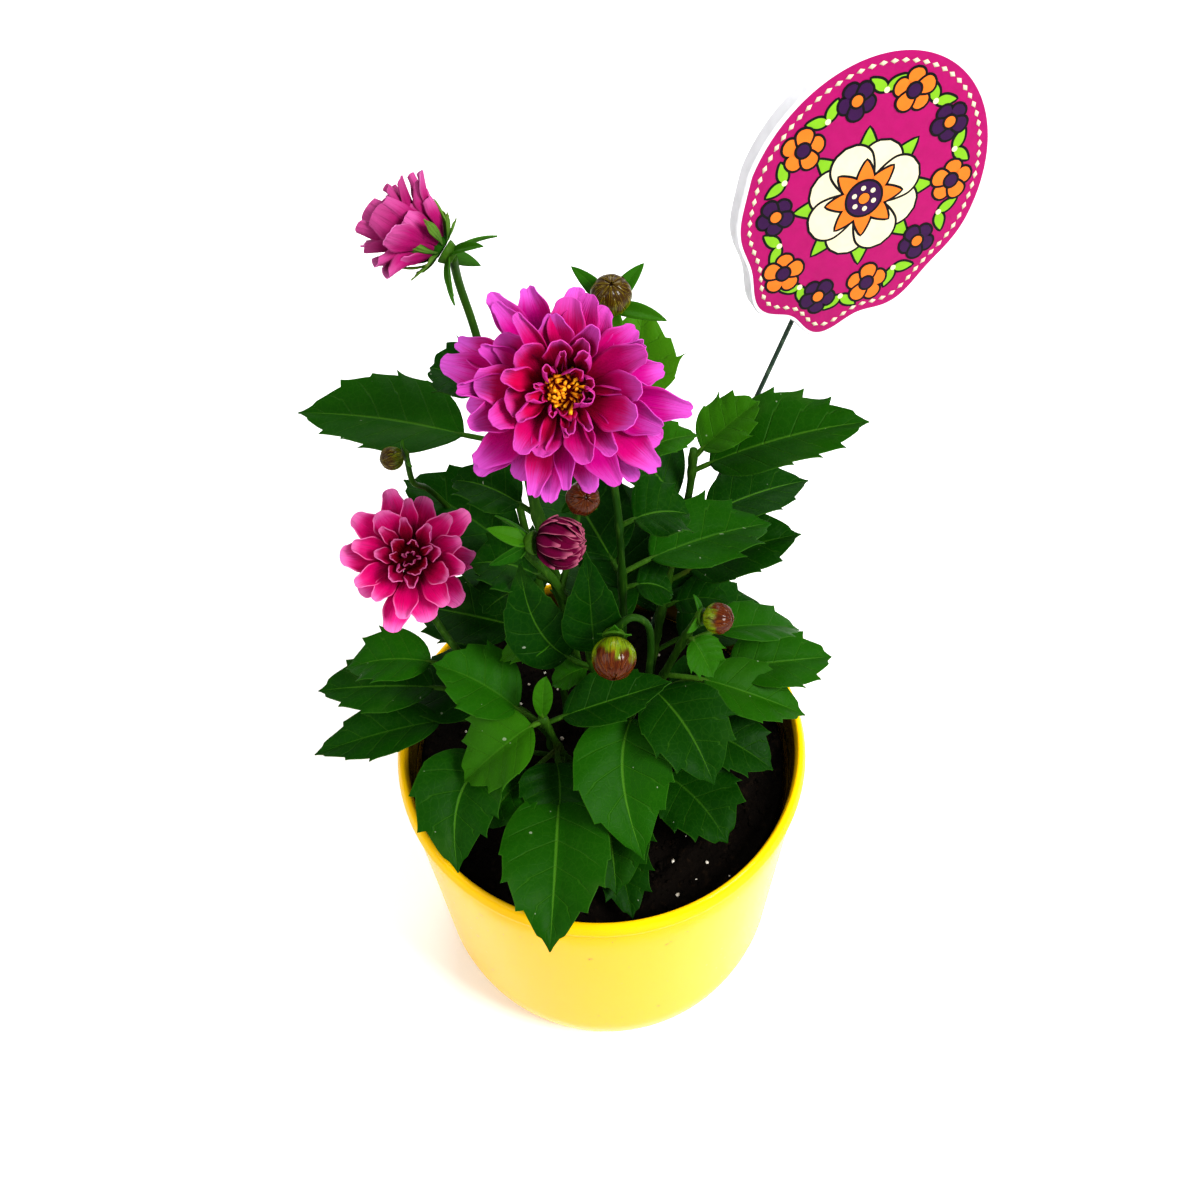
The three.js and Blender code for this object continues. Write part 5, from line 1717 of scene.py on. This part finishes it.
def ink(name, colour, roughness=0.33):
    """Printed colour under a thin satin film."""
    finish = Finish(name, {"Specular IOR Level": 0.12, "Coat Weight": 0.04, "Coat Roughness": 0.2})
    place = finish.place()
    laid = finish.noise(place, 260, 2)
    darker = tuple(0.86 * part for part in colour[:3]) + (1,)
    finish.feed("Base Color", finish.mix(laid.rises(0.3, 0.7) * 0.6, colour, darker))
    finish.feed("Roughness", roughness + laid * 0.08)
    finish.bump(finish.noise(place, 1100, 2), 0.08, 0.0003)
    return finish


board_white = ink("board_white", (0.66, 0.66, 0.68, 1), 0.5)
ground = ink("print_magenta", (0.30, 0.0004, 0.098, 1))
cream = ink("print_cream", (0.60, 0.54, 0.37, 1))
orange = ink("print_orange", (0.66, 0.15, 0.012, 1))
purple = ink("print_purple", (0.030, 0.002, 0.045, 1))
green = ink("print_green", (0.17, 0.38, 0.012, 1))
outline_ink = ink("print_outline", (0.002, 0.001, 0.002, 1))

# The board's layers from its flat back, over its softened edge, to its face: inset and height.
white_layers = [(1.2, 0.0), (0.35, 0.0), (0.0, 0.35), (0.0, BOARD_THICKNESS - 0.4)]
white_layers += [(0.4, BOARD_THICKNESS), (1.3, BOARD_THICKNESS)]
layers = white_layers + [(1.31, PRINTED_FACE), (20, PRINTED_FACE)]
points = [(0, 0, 0)]
for inset, height in layers:
    points += [(*board_edge(math.tau * i / EDGE_POINTS, inset), height) for i in range(EDGE_POINTS)]
points.append((0, 0, PRINTED_FACE))
faces = []
kinds = []
for i in range(EDGE_POINTS):
    following = (i + 1) % EDGE_POINTS
    faces.append((0, 1 + following, 1 + i))
    kinds.append(0)
    for layer in range(len(layers) - 1):
        low = 1 + layer * EDGE_POINTS
        high = low + EDGE_POINTS
        faces.append((low + i, low + following, high + following, high + i))
        kinds.append(int(layer >= len(white_layers) - 1))
    last = 1 + (len(layers) - 1) * EDGE_POINTS
    faces.append((last + i, last + following, len(points) - 1))
    kinds.append(1)
board = new_piece("pick_board_panel", in_frame(board_frame, points), faces, [board_white, ground], kinds)
board.data.set_sharp_from_angle(angle=SHARP_FROM)
settle(board, "board_print", "pick_board")


def both_sides(half, along):
    """A closed outline from its half width at each place along +Y."""
    right = np.stack([half, along], 1)
    left = np.stack([-half, along], 1)[-2:0:-1]
    return np.vstack([right, left])


def teardrop(length, width):
    """A petal or leaf outline that grows from the origin along +Y, pointed at both ends."""
    t = np.linspace(0, 1, 22)
    return both_sides(width / 2 * np.sin(math.pi * t**0.8) ** 0.85, t * length)


def spoon(length, width):
    """A round-ended petal outline that grows from the origin along +Y."""
    t = np.linspace(0, 1, 26)
    opening = 0.28 * np.sqrt(np.clip(t * 8, 0, 1)) + 0.72 * np.sin(math.pi / 2 * np.clip(t / 0.72, 0, 1))
    closing = np.sqrt(np.clip(1 - ((t - 0.66).clip(0) / 0.34) ** 2, 0, 1))
    return both_sides(width / 2 * opening * closing, t * length)


def round_shape(radius, points=40):
    a = np.arange(points) * 2 * math.pi / points
    return np.stack([radius * np.cos(a), radius * np.sin(a)], 1)


def runs_left(shape):
    """1 where the outline runs anticlockwise, or else -1."""
    (x, y), (next_x, next_y) = shape.T, np.roll(shape, -1, 0).T
    return math.copysign(1, np.sum(x * next_y - y * next_x))


def grown(shape, margin):
    """The outline, moved outwards by a margin."""
    along = np.roll(shape, -1, 0) - np.roll(shape, 1, 0)
    along /= np.maximum(np.linalg.norm(along, axis=1, keepdims=True), 1e-6)
    outward = np.stack([along[:, 1], -along[:, 0]], 1)
    return shape + outward * margin * runs_left(shape)


# Each ink's areas, as points and faces.
printed = {}


def stamp(finish, shape, level, place=(0, 0), turn=0.0):
    """One flat area of ink, a hair above what it is printed over."""
    a = math.radians(turn)
    turn_matrix = np.array([[math.cos(a), -math.sin(a)], [math.sin(a), math.cos(a)]])
    flat = (shape @ turn_matrix.T + np.array(place))[:: int(runs_left(shape))]
    low, high = BOARD_THICKNESS - INK / 2, BOARD_THICKNESS + INK * (0.6 + 0.35 * level)
    n = len(flat)
    points = [(x, y, low) for x, y in flat] + [(x, y, high) for x, y in flat]
    faces = [tuple(range(n))[::-1], tuple(range(n, 2 * n))]
    faces += [(i, (i + 1) % n, n + (i + 1) % n, n + i) for i in range(n)]
    printed.setdefault(finish, []).append((points, faces))


def motif(finish, shape, level, place=(0, 0), turn=0.0, line=0.75):
    """An area of colour with a dark line round it."""
    stamp(outline_ink, grown(shape, line), level, place, turn)
    stamp(finish, shape, level + 1, place, turn)


def small_flower(place, size, petal_finish, heart_finish, turn):
    """Five round petals and a heart, printed over one another."""
    for i in range(5):
        motif(petal_finish, spoon(size, size * 0.78), 4 + 2 * (i % 2), place, turn + 72 * i)
    motif(heart_finish, round_shape(size * 0.3), 8, place)


# The middle flower and its leaves.
for i in range(8):
    motif(green, teardrop(22, 8), 0, turn=22.5 + 45 * i)
for i in range(8):
    motif(cream, spoon(18, 13), 2 + 2 * (i % 2), turn=45 * i)
for i in range(8):
    motif(orange, teardrop(12, 5.4), 6, turn=22.5 + 45 * i)
motif(purple, round_shape(5.4), 8)
for i in range(6):
    a = math.tau * i / 6
    stamp(cream, round_shape(0.8, 14), 10, (3.4 * math.cos(a), 3.4 * math.sin(a)))
motif(orange, round_shape(1.7, 24), 10, line=0.3)

# A wreath of small flowers goes all round it, with a pair of leaves between each two.
WREATH_INSET = 12
for i in range(10):
    angle = 90 + 36 * i
    place = board_edge(math.radians(angle), WREATH_INSET)
    if i % 2:
        small_flower(place, 5.6, purple, orange, angle)
    else:
        small_flower(place, 6.4, orange, purple, angle)
    between = board_edge(math.radians(angle + 18), WREATH_INSET)
    for lean in (-55, 55):
        motif(green, teardrop(6.5, 3), 2, between, angle + 18 - 90 + lean)
    stamp(cream, round_shape(0.9, 16), 4, between)

for finish, areas in printed.items():
    points = []
    faces = []
    for area_points, area_faces in areas:
        faces += [tuple(len(points) + corner for corner in face) for face in area_faces]
        points += area_points
    print_layer = new_piece(finish.material.name + "_areas", in_frame(board_frame, points), faces, [finish])
    print_layer.data.set_sharp_from_angle(angle=SHARP_FROM)
    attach(print_layer, "root")

# Small cream lozenges follow the edge.
LOZENGES = 72
PATH_POINTS = 120
edge_marks = Repeat("Marks along an edge", ["Count", "Length", "Width", "Finish"])
given = edge_marks.given
path = edge_marks.node("GeometryNodeMeshToCurve", None, {0: given("Geometry")})
path = edge_marks.node("GeometryNodeResampleCurve", None, {"Curve": path, "Count": given("Count")})
mark = edge_marks.node(
    "GeometryNodeMeshCylinder", None, {"Vertices": 4, "Radius": 1.0, "Depth": INK * MM}
)
along = edge_marks.node(
    "FunctionNodeAlignRotationToVector",
    {"axis": "X"},
    {"Vector": edge_marks.node("GeometryNodeInputTangent")},
)
marks = edge_marks.node(
    "GeometryNodeInstanceOnPoints",
    None,
    {
        "Points": path,
        "Instance": mark,
        "Rotation": along,
        "Scale": edge_marks.vector(given("Length"), given("Width"), 1.0),
    },
)
edge_marks.close(marks)
around = [math.tau * i / PATH_POINTS for i in range(PATH_POINTS)]
path_points = [(*board_edge(a, 4), BOARD_THICKNESS + INK) for a in around]
path_edges = [(i, (i + 1) % PATH_POINTS) for i in range(PATH_POINTS)]
lozenges = new_piece("print_cream_lozenges", path_points, [], [cream], edges=path_edges)
edge_marks.run(lozenges, count=LOZENGES, length=1.3 * MM, width=0.75 * MM, finish=cream.material)
board_frame.translation *= MM
lozenges.data.transform(board_frame)
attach(lozenges, "root")

# The wire, cut square at both ends with its edges eased, and bent a little by hand.
WIRE_GREEN = (0.010, 0.030, 0.016, 1)
WIRE_SCUFFED = (0.05, 0.09, 0.05, 1)
wire_coat = Finish("wire_coat", {"Specular IOR Level": 0.4})
scuffed = wire_coat.noise(wire_coat.place(), 500, 3)
wire_coat.feed("Base Color", wire_coat.mix(scuffed.rises(0.5, 0.75), WIRE_GREEN, WIRE_SCUFFED))
wire_coat.feed("Roughness", 0.45 + scuffed * 0.25)
wire_coat.bump(scuffed, 0.3, 0.0003)
reach = np.linspace(0, wire_length, 60)
slightly_bent = 0.12 * np.sin(reach / 23)
radii = np.full(len(reach), WIRE_RADIUS - 0.12)
radii[[0, -1]] = WIRE_RADIUS / 2
points, faces = tube(np.stack([slightly_bent, 0 * reach, reach], 1), radii, 16)
wire = new_piece("pick_wire_rod", in_frame(pick_frame, points), faces, [wire_coat])
settle(wire, "wire_coat", "pick_wire")


# The table and the light
# A plain pale table under plain soft light from above, a little stronger from the right.

TABLE_REACH = 4000

pale = Finish("pale_table", {"Specular IOR Level": 0.2})
even_tone = pale.noise(pale.place(), 3, 2)
pale.feed("Base Color", pale.mix(even_tone * 0.3, (0.93, 0.93, 0.93, 1), (0.90, 0.90, 0.90, 1)))
pale.feed("Roughness", 0.7 + even_tone * 0.1)
corners = ((-1, -1), (1, -1), (1, 1), (-1, 1))
table_points = [(x * TABLE_REACH, y * TABLE_REACH, 0) for x, y in corners]
table = new_piece("table", table_points, [(0, 1, 2, 3)], [pale])

room = bpy.data.worlds.new("room")
room.use_nodes = True
room.node_tree.nodes["Background"].inputs["Color"].default_value = (1.0, 1.0, 1.0, 1)
room.node_tree.nodes["Background"].inputs["Strength"].default_value = 0.62
bpy.context.scene.world = room


def softbox(name, place, width, watts):
    """A square of soft light that faces the plant."""
    light = bpy.data.lights.new(name, "AREA")
    light.size = width
    light.energy = watts
    lamp = bpy.data.objects.new(name, light)
    lamp.location = place
    lamp.rotation_euler = (Vector((0, 0, 0.15)) - Vector(place)).to_track_quat("-Z", "Y").to_euler()
    bpy.context.scene.collection.objects.link(lamp)


softbox("key", (0.75, -0.45, 1.0), 0.45, 18)
softbox("fill", (-0.9, -0.5, 0.9), 0.9, 6)
softbox("back", (0.2, 1.0, 1.0), 0.8, 8)
bpy.context.scene.view_settings.view_transform = "Standard"
bpy.context.scene.view_settings.look = "Medium High Contrast"
